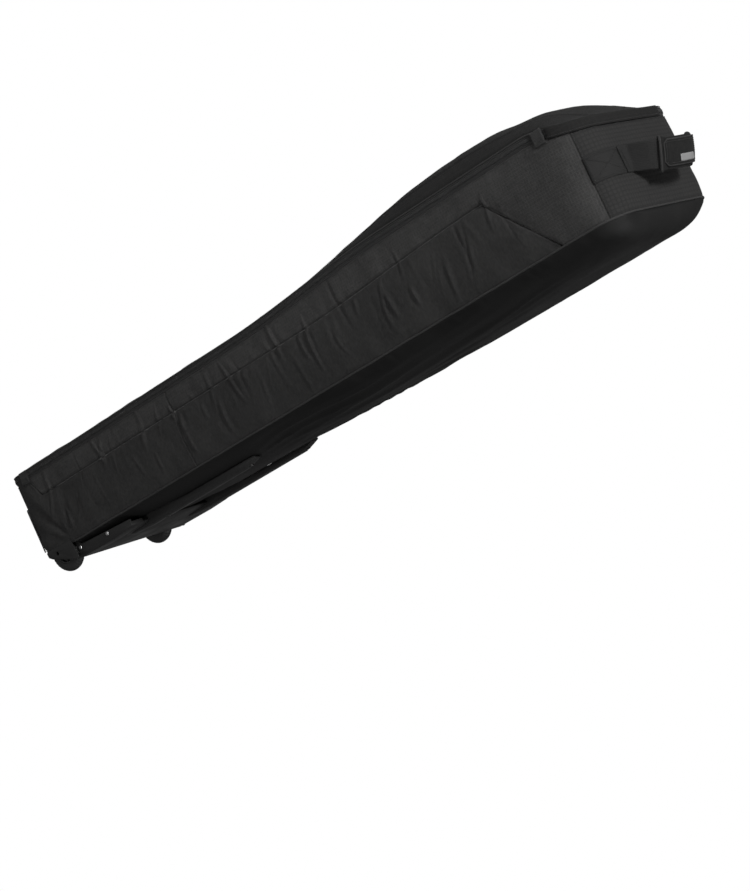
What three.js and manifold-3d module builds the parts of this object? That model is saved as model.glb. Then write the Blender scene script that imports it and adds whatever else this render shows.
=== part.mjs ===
// Wheeled, padded snowboard bag, lying flat on the floor.
//
// Millimetres, +Z up. While it is being built, x runs from the wheel end (0) to the handle end
// (bodyLength), y is 0 on the centre line with the zip side at -y, and z is 0 on the floor. The last
// lines move the whole bag along x, so that the origin is at the bottom centre of its box.

import * as THREE from 'three';
import { mergeVertices } from 'three/addons/utils/BufferGeometryUtils.js';
import Module from 'manifold-3d';

const wasm = await Module();
wasm.setup();

// ---------------------------------------------------------------- driving dimensions

const bodyLength = 1680;
const bodyWidth = 330;
const halfWidth = bodyWidth / 2;
const sideHeight = 184;
const wheelSeamHeight = 50; // bottom seam above the floor at the wheel end
const handleSeamHeight = 44; // and at the handle end
const bootRise = 20; // how far the top edge climbs over the boots
const endDrop = 22; // how far the top edge falls again at the handle end
const wheelCornerRadius = 40; // corners seen from above
const handleCornerRadius = 60;
const seamAngle = THREE.MathUtils.degToRad(36); // where the end panels are sewn, round the corners

const gap = 0.4; // between pieces that touch
const fabric = 2.5; // outer fabric with its backing
const padding = 6; // foam with its lining
const trimReach = 3.8; // the furthest that sewn-on trim stands out of the walls

const zipHeight = 15; // the whole zip band, under the top edge
const zipMiddle = 7.6; // the teeth, under the top edge

const wheelRadius = 45;
const wheelWidth = 24;
const wheelX = 58;
const wheelY = 138;
const axleRadius = 4;

const slotLooks = {
  shell_fabric: { color: 0x17171a, roughness: 0.9 },
  base_fabric: { color: 0x141416, roughness: 0.6 },
  lining: { color: 0x3a3b3f, roughness: 0.95 },
  webbing: { color: 0x161618, roughness: 0.8 },
  zip: { color: 0x121214, roughness: 0.6 },
  moulding: { color: 0x222224, roughness: 0.5 },
  board: { color: 0x2c2d30, roughness: 0.6 },
  tyre: { color: 0x1b1b1d, roughness: 0.55 },
  wheel_core: { color: 0x2a2a2c, roughness: 0.45 },
  steel: { color: 0xb4b6b8, roughness: 0.3, metalness: 1 },
  black_metal: { color: 0x1c1c1e, roughness: 0.35, metalness: 1 },
  patch: { color: 0x8c8e92, roughness: 0.6 },
};

const materials = {};
for (const [slot, look] of Object.entries(slotLooks)) {
  materials[slot] = new THREE.MeshStandardMaterial(look);
}

// ---------------------------------------------------------------- small helpers

const bag = new THREE.Group();

function add(parent, name, slot, geometry) {
  const mesh = new THREE.Mesh(geometry, materials[slot]);
  mesh.name = name;
  parent.add(mesh);
  return mesh;
}

const smooth = (from, to, x) => THREE.MathUtils.smoothstep(x, from, to);
const sides = { near: -1, far: 1 };

// Evenly spaced numbers, both ends included.
function spread(from, to, steps) {
  return Array.from({ length: steps + 1 }, (_, i) => from + ((to - from) * i) / steps);
}

function signedVolume(points, index) {
  let volume = 0;
  for (let i = 0; i < index.length; i += 3) {
    const [a, b, c] = [points[index[i]], points[index[i + 1]], points[index[i + 2]]];
    volume += a.dot(new THREE.Vector3().crossVectors(b, c)) / 6;
  }
  return volume;
}

// The closed solid between two matching grids of points: a skin with a front and a back.
function skinSolid(front, back) {
  const rows = front.length;
  const columns = front[0].length;
  const points = [...front.flat(), ...back.flat()];
  const at = (side, row, column) => (side * rows + row) * columns + column;
  const index = [];
  const quad = (a, b, c, d) => index.push(a, b, c, a, c, d);
  for (let row = 0; row < rows - 1; row += 1) {
    for (let column = 0; column < columns - 1; column += 1) {
      const corners = [[row, column], [row + 1, column], [row + 1, column + 1], [row, column + 1]];
      quad(...corners.map(([r, c]) => at(0, r, c)));
      quad(...corners.reverse().map(([r, c]) => at(1, r, c)));
    }
  }
  for (let row = 0; row < rows - 1; row += 1) {
    const last = columns - 1;
    quad(at(0, row, 0), at(1, row, 0), at(1, row + 1, 0), at(0, row + 1, 0));
    quad(at(0, row + 1, last), at(1, row + 1, last), at(1, row, last), at(0, row, last));
  }
  for (let column = 0; column < columns - 1; column += 1) {
    const last = rows - 1;
    quad(at(0, 0, column + 1), at(1, 0, column + 1), at(1, 0, column), at(0, 0, column));
    quad(at(0, last, column), at(1, last, column), at(1, last, column + 1), at(0, last, column + 1));
  }
  if (signedVolume(points, index) < 0) {
    index.reverse();
  }
  const geometry = new THREE.BufferGeometry().setFromPoints(points);
  geometry.setIndex(index);
  return geometry;
}

function toSolid(geometry) {
  const plain = geometry.clone();
  plain.deleteAttribute('normal');
  plain.deleteAttribute('uv');
  const merged = mergeVertices(plain, 1e-4);
  return new wasm.Manifold(new wasm.Mesh({
    numProp: 3,
    vertProperties: new Float32Array(merged.attributes.position.array),
    triVerts: new Uint32Array(merged.index.array),
  }));
}

function fromSolid(solid) {
  const mesh = solid.getMesh();
  const geometry = new THREE.BufferGeometry();
  geometry.setAttribute('position', new THREE.BufferAttribute(mesh.vertProperties, 3));
  geometry.setIndex(new THREE.BufferAttribute(mesh.triVerts, 1));
  return geometry;
}

function cut(geometry, cutters) {
  return fromSolid(cutters.reduce((solid, cutter) => solid.subtract(toSolid(cutter)), toSolid(geometry)));
}

function join(geometries) {
  return fromSolid(geometries.map(toSolid).reduce((whole, next) => whole.add(next)));
}

// A box from its lowest corner to its highest.
function block(low, high) {
  const size = high.map((value, i) => value - low[i]);
  const geometry = new THREE.BoxGeometry(...size);
  return geometry.translate(...low.map((value, i) => value + size[i] / 2));
}

// A plate with an outline in x and z, between two places in y.
function plate(outline, yFrom, yTo) {
  const shape = new THREE.Shape(outline.map(([x, z]) => new THREE.Vector2(x, z)));
  const geometry = new THREE.ExtrudeGeometry(shape, { depth: Math.abs(yTo - yFrom), bevelEnabled: false });
  return geometry.rotateX(Math.PI / 2).translate(0, Math.max(yFrom, yTo), 0);
}

// A round piece on an axis along y, from radius and y pairs that run from the axis back to it.
function turned(profile, x, y, z, segments = 32) {
  const points = profile.map(([radius, along]) => new THREE.Vector2(radius, along));
  return new THREE.LatheGeometry(points, segments).translate(x, y, z);
}

function rod(radius, yFrom, yTo, x, z, segments = 16) {
  const [low, high] = [Math.min(yFrom, yTo), Math.max(yFrom, yTo)];
  return turned([[0, low], [radius, low], [radius, high], [0, high]], x, 0, z, segments);
}

// ---------------------------------------------------------------- the bag's outer form

const seamHeight = (x) => wheelSeamHeight + ((handleSeamHeight - wheelSeamHeight) * x) / bodyLength;

function topHeight(x) {
  const boots = bootRise * smooth(750, 1200, x);
  return seamHeight(x) + sideHeight + boots - endDrop * smooth(1560, 1690, x);
}

// Half the width of the outline seen from above, with its round corners.
function halfWidthAt(x) {
  const intoWheelCorner = wheelCornerRadius - x;
  const intoHandleCorner = x - (bodyLength - handleCornerRadius);
  const [into, radius] = intoWheelCorner > 0
    ? [intoWheelCorner, wheelCornerRadius]
    : [Math.max(intoHandleCorner, 0), handleCornerRadius];
  return halfWidth - radius + Math.sqrt(Math.max(radius ** 2 - into ** 2, 0));
}

// Stations are points of the outline with their outward normals.
function cornerStations(atHandleEnd, side, fromAngle, toAngle, steps) {
  const radius = atHandleEnd ? handleCornerRadius : wheelCornerRadius;
  const direction = atHandleEnd ? 1 : -1;
  const centreX = atHandleEnd ? bodyLength - radius : radius;
  return spread(fromAngle, toAngle, steps).map((angle) => ({
    x: centreX + direction * radius * Math.sin(angle),
    y: side * (halfWidth - radius + radius * Math.cos(angle)),
    nx: direction * Math.sin(angle),
    ny: side * Math.cos(angle),
  }));
}

const sideStations = (side, places) => places.map((x) => ({ x, y: side * halfWidth, nx: 0, ny: side }));

function endStations(atHandleEnd, from, to, steps) {
  const x = atHandleEnd ? bodyLength : 0;
  const nx = atHandleEnd ? 1 : -1;
  return spread(from, to, steps).map((y) => ({ x, y, nx, ny: 0 }));
}

const quarter = Math.PI / 2;
const cornerSteps = 5;

// From the sewn seam at one corner, across the end, to the seam at the other corner.
function wholeEndStations(atHandleEnd, seam = seamAngle) {
  const reach = halfWidth - (atHandleEnd ? handleCornerRadius : wheelCornerRadius);
  return [
    ...cornerStations(atHandleEnd, sides.near, seam, quarter, cornerSteps).slice(0, -1),
    ...endStations(atHandleEnd, -reach, reach, 6),
    ...cornerStations(atHandleEnd, sides.far, quarter, seam, cornerSteps).slice(1),
  ];
}

// The open side's whole run: far wheel corner, wheel end, zip side, handle end, far handle corner.
function zipStations() {
  const straight = spread(wheelCornerRadius, bodyLength - handleCornerRadius, 22);
  return [
    ...wholeEndStations(false, 0).reverse().slice(0, -1),
    ...sideStations(sides.near, straight),
    ...wholeEndStations(true, 0).slice(1),
  ];
}

// A wall along stations. low and high give its heights, front and back how far its faces stand out of
// the outline, each as a function of the station and of the way up from 0 to 1.
function wall(stations, low, high, front, back, rows = [0, 1]) {
  const grid = (offset) => stations.map((station) => rows.map((up) => {
    const out = offset(up, station);
    const z = THREE.MathUtils.lerp(low(station), high(station), up);
    return new THREE.Vector3(station.x + station.nx * out, station.y + station.ny * out, z);
  }));
  return skinSolid(grid(front), grid(back));
}

// ---------------------------------------------------------------- side and end panels

const panelTop = (station) => topHeight(station.x) - zipHeight - 1.2;
const panelBottom = (station) => seamHeight(station.x) + 2;
const face = () => 0;
const faceBack = () => -fabric;

const strapSeamStart = 84; // where the seam along each side begins, and its two slanting ends
const strapSeamCorner = 58;
const strapSeamEnd = 1431;
const strapSeamFoot = 1553;

const middleSeam = (x) => seamHeight(x) + 122 + 20 * smooth(900, strapSeamEnd, x);

// The seam between the upper and lower panels, with a slanting end at each end of the bag.
function splitHeight(x) {
  if (x < strapSeamStart) {
    const along = (strapSeamStart - x) / (strapSeamStart - strapSeamCorner);
    return THREE.MathUtils.lerp(middleSeam(strapSeamStart), topHeight(strapSeamCorner) - zipHeight, along);
  }
  if (x > strapSeamEnd) {
    const along = (x - strapSeamEnd) / (strapSeamFoot - strapSeamEnd);
    return THREE.MathUtils.lerp(middleSeam(strapSeamEnd), seamHeight(strapSeamFoot), along);
  }
  return middleSeam(x);
}

const cornerFootRadius = 30; // the lower corner at the wheel end, seen from the side
const cornerFootX = 35;

// The fabric's lower edge follows the round corner of the moulding.
function cornerFoot(station) {
  const into = THREE.MathUtils.clamp(cornerFootX - station.x, 0, cornerFootRadius);
  return panelBottom(station) + cornerFootRadius - Math.sqrt(cornerFootRadius ** 2 - into ** 2);
}

// The far side has no zip along it, so its panels reach up to the hinge between the two corners.
function farPanelTop(station) {
  const atHinge = station.x > wheelCornerRadius && station.x < bodyLength - handleCornerRadius;
  return atHinge ? topHeight(station.x) - 2 : panelTop(station);
}

function sidePanels(name, side) {
  const topOf = side === sides.near ? panelTop : farPanelTop;
  const lowerRun = [
    ...cornerStations(false, side, seamAngle - 0.02, 0, 4).slice(0, -1),
    ...sideStations(side, [
      wheelCornerRadius,
      ...spread(strapSeamCorner, strapSeamStart, 2),
      ...spread(120, strapSeamEnd, 30),
      ...spread(strapSeamEnd + 20, strapSeamFoot - 4, 4),
    ]),
  ];
  const lowerTop = (station) => Math.min(splitHeight(station.x) - gap / 2, topOf(station));
  add(bag, `side_lower_panel_${name}`, 'shell_fabric',
    wall(lowerRun, cornerFoot, lowerTop, face, faceBack));

  const upperRun = [
    ...sideStations(side, [
      ...spread(strapSeamCorner + 2, strapSeamStart, 2),
      ...spread(120, strapSeamEnd, 30),
      ...spread(strapSeamEnd + 20, strapSeamFoot, 4),
      bodyLength - handleCornerRadius,
    ]),
    ...cornerStations(true, side, 0, seamAngle - 0.02, 4).slice(1),
  ];
  const upperLow = (station) => Math.max(splitHeight(station.x) + gap / 2, panelBottom(station));
  add(bag, `side_upper_panel_${name}`, 'shell_fabric',
    wall(upperRun, upperLow, topOf, face, faceBack));
}

for (const [name, side] of Object.entries(sides)) {
  sidePanels(name, side);
}

const kickPlateTop = 165;
const cornerTop = 84; // the moulded corner takes over from the fabric below this

add(bag, 'wheel_end_panel', 'shell_fabric',
  wall(wholeEndStations(false), () => cornerTop, panelTop, face, faceBack));
add(bag, 'handle_end_panel', 'shell_fabric',
  wall(wholeEndStations(true), panelBottom, panelTop, face, faceBack));

// ---------------------------------------------------------------- base

const baseEdge = 2; // the base is sewn in this far inside the outline, under the piping

// How deep the belly hangs under the seam, along the middle of the bag.
function bellyDepth(x) {
  const nose = 8 + 12 * smooth(40, 160, x);
  const belly = 12 * smooth(290, 430, x) + 7.2 * smooth(430, 1000, x);
  const intoEnd = Math.max(x - (bodyLength - handleCornerRadius), 0) / handleCornerRadius;
  return (nose + belly) * Math.sqrt(Math.max(1 - intoEnd ** 2, 0.02));
}

// The underside of the base at a point. It is fuller across the handle half.
function baseHeight(x, y) {
  const across = Math.min(Math.abs(y) / halfWidthAt(x), 1);
  const fullness = 2 + 2 * smooth(640, 1100, x);
  return seamHeight(x) - 2 - fabric - bellyDepth(x) * (1 - across ** fullness);
}

function baseLayer(places, inset, low, thickness, acrossSteps = 10) {
  const across = spread(-1, 1, acrossSteps);
  const grid = (rise) => places.map((x) => across.map((t) => {
    const y = t * (halfWidthAt(x) - inset);
    return new THREE.Vector3(x, y, baseHeight(x, y) + rise);
  }));
  return skinSolid(grid(low), grid(low + thickness));
}

const runnerScrewX = [330, 600];
const runnerY = 90;
const runnerScrewRadius = 2.4;

const screwHoles = Object.values(sides).flatMap((side) => runnerScrewX.map((x) => (
  new THREE.CylinderGeometry(runnerScrewRadius + gap, runnerScrewRadius + gap, 60, 10)
    .rotateX(quarter).translate(x, side * runnerY, 30)
)));

const wellInside = wheelY - wheelWidth / 2 - 6 - gap; // just inside the inner face of the wheel housings
const wellRear = 124; // how far the housings cut into the base
const nutRoom = 9;

const housingRoom = Object.values(sides).map((side) => {
  const inner = wellInside - nutRoom;
  const [low, high] = side < 0 ? [-halfWidth, -inner] : [inner, halfWidth];
  return block([-10, low, 0], [wellRear, high, 110]);
});

const boardRise = fabric + 3;
const boardThickness = 2;
const basePaddingRise = boardRise + boardThickness + 2.5;
const screwTop = (x) => baseHeight(x, runnerY) + boardRise + boardThickness + 1;

add(bag, 'base_panel', 'base_fabric', cut(
  baseLayer([...spread(44, 164, 4), ...spread(230, bodyLength - 80, 16), ...spread(1625, 1676, 5)],
    baseEdge, 0, fabric),
  [...screwHoles, ...housingRoom],
));

add(bag, 'base_board', 'board', cut(
  baseLayer(spread(130, 650, 8), 40, boardRise, boardThickness, 6),
  screwHoles,
));

add(bag, 'base_padding', 'lining',
  baseLayer(spread(130, 1640, 16), 12, basePaddingRise, padding, 8));

// ---------------------------------------------------------------- wall padding with its lining

const paddingFront = () => -fabric - gap;
const paddingBack = () => -fabric - gap - padding;
const paddingLow = (station) => seamHeight(station.x) + 12;
const paddingHigh = (station) => topHeight(station.x) - zipHeight - 4;

for (const [name, side] of Object.entries(sides)) {
  add(bag, `side_padding_${name}`, 'lining',
    wall(sideStations(side, spread(130, 1618, 24)), paddingLow, paddingHigh, paddingFront, paddingBack));
}
add(bag, 'wheel_end_padding', 'lining',
  wall(endStations(false, -115, 115, 2), () => 100, paddingHigh, paddingFront, paddingBack));
add(bag, 'handle_end_padding', 'lining',
  wall(endStations(true, -100, 100, 2), paddingLow, paddingHigh, paddingFront, paddingBack));

// ---------------------------------------------------------------- piping along the bottom seam

const pipingStart = 118; // it runs out from under the wheel housings

add(bag, 'bottom_piping', 'webbing', wall(
  [
    ...sideStations(sides.near, spread(pipingStart, bodyLength - handleCornerRadius, 20)).slice(0, -1),
    ...wholeEndStations(true, 0),
    ...sideStations(sides.far, spread(bodyLength - handleCornerRadius, pipingStart, 20)).slice(1),
  ],
  (station) => seamHeight(station.x) - 1.6,
  (station) => seamHeight(station.x) + 1.6,
  () => 1.2,
  () => -1.6,
));

// ---------------------------------------------------------------- zip

const teethUp = 1.2; // how far the teeth stand out of the tape
const teethWidth = 2.6;
const zipTape = 1.8;

function zipHalf(stations, low, high, teethAtTop) {
  const start = teethWidth / (high - low);
  const rows = teethAtTop ? [0, 1 - start, 1 - start + 0.04, 1] : [0, start - 0.04, start, 1];
  const onTeeth = (up) => (teethAtTop ? up > 1 - start + 0.02 : up < start - 0.02);
  return wall(
    stations,
    (station) => topHeight(station.x) + low,
    (station) => topHeight(station.x) + high,
    (up) => (onTeeth(up) ? teethUp : 0),
    () => -zipTape,
    rows,
  );
}

const lid = new THREE.Group();
bag.add(lid);

add(bag, 'zip_lower_half', 'zip', zipHalf(zipStations(), -zipHeight, -zipMiddle - gap / 2, true));
add(lid, 'zip_upper_half', 'zip', zipHalf(zipStations(), -zipMiddle + gap / 2, -gap, false));

// ---------------------------------------------------------------- lid

const weltHeight = 2.6;

add(lid, 'lid_welt', 'webbing', wall(
  zipStations(),
  (station) => topHeight(station.x),
  (station) => topHeight(station.x) + weltHeight,
  () => 1,
  () => -1.4,
));

const lidInset = 4.8;

// The lid's crown over its edge: a little over the board, high over the boots.
function crown(x) {
  const boots = 46 * smooth(880, 1340, x) * (1 - 0.75 * smooth(1400, bodyLength, x));
  const ends = smooth(-6, 60, x) * (1 - smooth(bodyLength - 90, bodyLength + 8, x));
  return (16 + boots) * ends;
}

function lidHeight(x, across) {
  return topHeight(x) + crown(x) * (1 - Math.abs(across) ** 2.6) ** 0.85;
}

function lidLayer(places, inset, low, thickness, acrossSteps = 12) {
  const across = spread(-1, 1, acrossSteps);
  const grid = (rise) => places.map((x) => across.map((t) => {
    const y = t * (halfWidthAt(x) - inset);
    return new THREE.Vector3(x, y, lidHeight(x, y / halfWidthAt(x)) + rise);
  }));
  return skinSolid(grid(low), grid(low + thickness));
}

const lidPlaces = [
  ...spread(lidInset, 40, 3),
  ...spread(100, bodyLength - handleCornerRadius, 20),
  ...spread(1634, bodyLength - lidInset, 5),
];
add(lid, 'lid_panel', 'shell_fabric', lidLayer(lidPlaces, lidInset, 0.6, fabric));
add(lid, 'lid_padding', 'lining', lidLayer(spread(30, 1650, 16), 14, -padding - 5, padding, 8));

// ---------------------------------------------------------------- fabric hinge along the far edge

const hingeStart = 90;
const hingeEnd = 1590;
add(bag, 'lid_hinge_tape', 'webbing', wall(
  sideStations(sides.far, spread(hingeStart, hingeEnd, 24)),
  (station) => topHeight(station.x) - 24,
  (station) => topHeight(station.x) - 9,
  () => trimReach,
  () => gap,
));

// ---------------------------------------------------------------- pull tabs beside the zip

const tabWidth = 24;
for (const [name, x] of [['wheel_end', 46], ['handle_end', 1590]]) {
  add(bag, `zip_tab_${name}`, 'webbing', wall(
    sideStations(sides.near, [x, x + tabWidth]),
    (station) => topHeight(station.x) - zipHeight - 12,
    (station) => topHeight(station.x) + 4,
    () => trimReach,
    () => trimReach - 2,
  ));
}

// ---------------------------------------------------------------- flap over the zip at the handle end

const flapHang = 17.5; // how far it hangs below the lid's edge
const flapStations = wholeEndStations(true, 0).slice(0, -cornerSteps); // the far corner would catch it
add(lid, 'zip_flap', 'shell_fabric', wall(
  flapStations,
  (station) => topHeight(station.x) - flapHang,
  (station) => topHeight(station.x) + weltHeight,
  () => teethUp + gap + 1.8,
  () => teethUp + gap,
));

// ---------------------------------------------------------------- zip sliders and their pulls

const sliderWidth = 12;
const sliderY = 8;
const sliderFace = teethUp + gap;
const pullLength = 36;
const pullHalf = 6;
const pullInner = 3.2; // how far the pull lies off the slider's back face
const pullThickness = 1.8;

// Both sliders sit on the wheel end, where they meet when the zip is shut.
function zipSlider(name, side) {
  const z = topHeight(0) - zipMiddle;
  const x = -sliderFace;
  const y = side * sliderY;
  const body = block([x - 2.6, y - sliderWidth / 2, z - 6], [x, y + sliderWidth / 2, z + 5.4]);
  const posts = [-4, 4].map((offset) => (
    block([x - 7.4, y + offset - 1, z - 1.6], [x - 2, y + offset + 1, z + 1.6])));
  const bridge = block([x - 7.4, y - 5, z - 1.6], [x - 5.6, y + 5, z + 1.6]);
  add(bag, `zip_slider_${name}`, 'black_metal', join([body, ...posts, bridge]));

  // The pull's eye is a bar under the bridge, which it turns on, with an arm on each side.
  const pullPiece = (from, to, zFrom, zTo) => {
    const [yFrom, yTo] = [y + side * from, y + side * to].sort((a, b) => a - b);
    return block([x - pullInner - pullThickness, yFrom, z + zFrom], [x - pullInner, yTo, z + zTo]);
  };
  const bar = pullPiece(-0.9, 0.9, -pullHalf, pullHalf);
  const arms = [[-pullHalf, -2.6], [2.6, pullHalf]].map(([low, high]) => pullPiece(-0.9, 11, low, high));
  const tongue = pullPiece(10, pullLength, -pullHalf, pullHalf);
  add(bag, `zip_pull_${name}`, 'webbing', join([bar, ...arms, tongue]));
}

for (const [name, side] of Object.entries(sides)) {
  zipSlider(name, side);
}

// ---------------------------------------------------------------- wheel end mouldings

const cornerCentre = 75; // height of the round lower corner's centre
const cornerRadius = 35;

// The outside of the moulding from the side: down the end, round the corner and along the underside.
function cornerArc(radius, steps) {
  return spread(Math.PI, 1.5 * Math.PI, steps).map((angle) => (
    [cornerRadius + radius * Math.cos(angle), cornerCentre + radius * Math.sin(angle)]));
}

const underside = [[107, 13], [215, 12], [270, 14], [285, 17]];

const runnerStart = 210;
const runnerWidth = 24;
const runnerEnd = 626;
const runnerBottom = 5;

const runnerRoom = Object.values(sides).map((side) => block(
  [runnerStart - gap, side * runnerY - runnerWidth / 2 - gap, 0],
  [300, side * runnerY + runnerWidth / 2 + gap, 60],
));

const plateThickness = 3;
const footTop = cornerTop + 6; // the foot runs up behind the upright part's lower edge
const kickPlateOutline = [
  [-plateThickness, footTop],
  ...cornerArc(cornerRadius + plateThickness, 8),
  ...underside,
  ...underside.map(([x, z]) => [x - 1, z + plateThickness]).reverse(),
  ...cornerArc(cornerRadius, 8).reverse(),
  [-gap, footTop],
];
const kickPlateWrap = 0.62; // where its upright part ends, round the corners
const kickPlateUpright = wall(
  wholeEndStations(false, kickPlateWrap),
  () => cornerTop,
  (station) => kickPlateTop - 0.6 * station.x,
  () => plateThickness,
  () => gap,
);
const kickPlateFoot = plate(kickPlateOutline, -wellInside, wellInside);
add(bag, 'kick_plate', 'moulding', cut(join([kickPlateUpright, kickPlateFoot]), runnerRoom));

function fender(radius, fromAngle, toAngle, steps) {
  return spread(fromAngle, toAngle, steps).map((angle) => (
    [wheelX + radius * Math.cos(angle), wheelRadius + radius * Math.sin(angle)]));
}

const fenderRadius = 55;
const wellRadius = wheelRadius + 5;
const housingOutline = [
  ...cornerArc(cornerRadius - 1, 6),
  ...underside,
  [285, 26],
  [126, 31],
  ...fender(fenderRadius, 0.35, 2.6, 12),
];
const skirtOutline = [[100, 17], ...underside, [285, 31], [126, 38.5], [100, 38.5]];
const skirtThickness = 5;
const flangeOutline = [[28, 46], [38, 39], [107, 13], [113, 15], [113, 38], [109, 56], [32, 59], [27, 56]];
const flangeOuter = halfWidth + trimReach - 0.3;
const flangeInner = halfWidth + gap;
const housingOuter = halfWidth - 9;

// Everything inside the outline seen from above, a little smaller all round.
function outlinePrism(inset) {
  const radius = wheelCornerRadius - inset;
  const reach = halfWidth - inset;
  const shape = new THREE.Shape();
  shape.moveTo(400, -reach);
  shape.lineTo(400, reach);
  shape.lineTo(inset + radius, reach);
  shape.absarc(inset + radius, reach - radius, radius, quarter, Math.PI, false);
  shape.lineTo(inset, radius - reach);
  shape.absarc(inset + radius, radius - reach, radius, Math.PI, 3 * quarter, false);
  return new THREE.ExtrudeGeometry(shape, { depth: 200, bevelEnabled: false, curveSegments: 8 });
}

function wheelHousing(name, side) {
  const inner = wellInside + gap;
  const shell = fromSolid(toSolid(plate(housingOutline, side * inner, side * housingOuter))
    .intersect(toSolid(outlinePrism(fabric + 3 * gap))));
  const skirt = plate(skirtOutline, side * (housingOuter - skirtThickness), side * housingOuter);
  const flange = plate(flangeOutline, side * flangeInner, side * flangeOuter);
  const rib = (xFrom, xTo, zFrom, zTo) => plate(
    [[xFrom, zFrom], [xTo, zFrom], [xTo, zTo], [xFrom, zTo]],
    side * (housingOuter - 1),
    side * (flangeInner + 1),
  );
  const ribs = [rib(90, 108, 24, 40), rib(34, 44, 42, 49)];
  const well = rod(wellRadius, side * (wheelY - wheelWidth / 2 - 2), side * (wheelY + wheelWidth / 2 + 2),
    wheelX, wheelRadius, 40);
  const axleHole = rod(axleRadius + gap, side * 100, side * 200, wheelX, wheelRadius);
  const wellMouth = block([10, side * wheelY - wheelWidth / 2 - 2, -10],
    [wheelX, side * wheelY + wheelWidth / 2 + 2, wheelRadius]);
  add(bag, `wheel_housing_${name}`, 'moulding',
    cut(join([shell, skirt, flange, ...ribs]), [well, wellMouth, axleHole]));
}

for (const [name, side] of Object.entries(sides)) {
  wheelHousing(name, side);
}

// ---------------------------------------------------------------- rivets in the housings

const rivetPlaces = { front: [118, 33], rear: [209, 29] };
for (const [name, side] of Object.entries(sides)) {
  for (const [place, [x, z]] of Object.entries(rivetPlaces)) {
    const start = housingOuter + gap;
    const head = [[0, start], [4.4, start], [4, start + 1.2], [2.4, start + 1.9], [0, start + 2.2]];
    const profile = side < 0 ? head.map(([radius, along]) => [radius, -along]).reverse() : head;
    add(bag, `housing_rivet_${place}_${name}`, 'steel', turned(profile, x, 0, z, 16));
  }
}

// ---------------------------------------------------------------- wheels

const coreRadius = 26;
const bearingRadius = 11;
const bearingWidth = 7;

function wheel(name, side) {
  const y = side * wheelY;
  const half = wheelWidth / 2;
  const spin = new THREE.Group();
  bag.add(spin);

  add(spin, `wheel_tyre_${name}`, 'tyre', turned([
    [coreRadius + gap, -half + 1], [36, -half + 0.6], [41.5, -half + 3], [44.2, -half + 7],
    [wheelRadius, 0], [44.2, half - 7], [41.5, half - 3], [36, half - 0.6],
    [coreRadius + gap, half - 1], [coreRadius + gap, -half + 1],
  ], wheelX, y, wheelRadius, 40));

  const seat = bearingRadius + gap;
  add(spin, `wheel_core_${name}`, 'wheel_core', turned([
    [seat, -half + 0.4], [16, -half + 0.4], [17, -4], [22, -4], [23, -half + 1], [coreRadius, -half + 1],
    [coreRadius, half - 1], [23, half - 1], [22, 4], [17, 4], [16, half - 0.4], [seat, half - 0.4],
    [seat, 1], [8, 1], [8, -1], [seat, -1], [seat, -half + 0.4],
  ], wheelX, y, wheelRadius, 24));

  for (const [place, offset] of [['outer', side], ['inner', -side]]) {
    const start = 1 + gap;
    const low = offset > 0 ? start : -start - bearingWidth;
    add(spin, `wheel_bearing_${place}_${name}`, 'steel', turned([
      [axleRadius + gap, low], [bearingRadius, low], [bearingRadius, low + bearingWidth],
      [axleRadius + gap, low + bearingWidth], [axleRadius + gap, low],
    ], wheelX, y, wheelRadius, 24));
  }
}

for (const [name, side] of Object.entries(sides)) {
  wheel(name, side);
}

function axle(name, side) {
  const outer = housingOuter + gap;
  const inner = wellInside;
  const bolt = join([
    rod(axleRadius, side * (inner - 7), side * (outer + 0.2), wheelX, wheelRadius, 16),
    rod(7, side * outer, side * (outer + 3.4), wheelX, wheelRadius, 24),
  ]);
  add(bag, `axle_bolt_${name}`, 'steel', bolt);
  const nut = cut(
    rod(7.5, side * (inner - 6), side * (inner - gap), wheelX, wheelRadius, 6),
    [rod(axleRadius + gap, side * (inner - 12), side * (inner + 12), wheelX, wheelRadius, 16)],
  );
  add(bag, `axle_nut_${name}`, 'steel', nut);
}

for (const [name, side] of Object.entries(sides)) {
  axle(name, side);
}

// ---------------------------------------------------------------- skid runners

function runner(name, side) {
  const places = [runnerStart, runnerStart + 14, 285, ...spread(310, 590, 8), 604, runnerEnd];
  const across = spread(-runnerWidth / 2, runnerWidth / 2, 4);
  const lift = (x) => 9 * smooth(590, runnerEnd, x) + 6 * (1 - smooth(runnerStart, runnerStart + 30, x));
  const edge = (offset) => 2.5 * (Math.abs(offset) > runnerWidth / 2 - 1 ? 1 : 0);
  const grid = (height) => places.map((x) => across.map((offset) => {
    const y = side * runnerY + offset;
    return new THREE.Vector3(x, y, height(x, y, offset));
  }));
  const body = skinSolid(
    grid((x, y, offset) => runnerBottom + lift(x) + edge(offset)),
    grid((x, y) => baseHeight(x, y) - 1.6),
  );
  const screwRooms = runnerScrewX.flatMap((x) => [
    new THREE.CylinderGeometry(runnerScrewRadius + gap, runnerScrewRadius + gap, 60, 10)
      .rotateX(quarter).translate(x, side * runnerY, 30),
    new THREE.CylinderGeometry(6, 6, 10, 20).rotateX(quarter).translate(x, side * runnerY, runnerBottom),
  ]);
  add(bag, `skid_runner_${name}`, 'moulding', cut(body, screwRooms));

  for (const [i, x] of runnerScrewX.entries()) {
    const headBottom = runnerBottom + 1.6;
    const head = new THREE.CylinderGeometry(5.2, 5.2, 3, 20).rotateX(quarter)
      .translate(x, side * runnerY, headBottom + 1.5);
    const shankTop = screwTop(x);
    const shank = new THREE.CylinderGeometry(runnerScrewRadius, runnerScrewRadius, shankTop - headBottom, 10)
      .rotateX(quarter).translate(x, side * runnerY, (shankTop + headBottom) / 2);
    add(bag, `runner_screw_${['front', 'rear'][i]}_${name}`, 'steel', join([head, shank]));
  }
}

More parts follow.
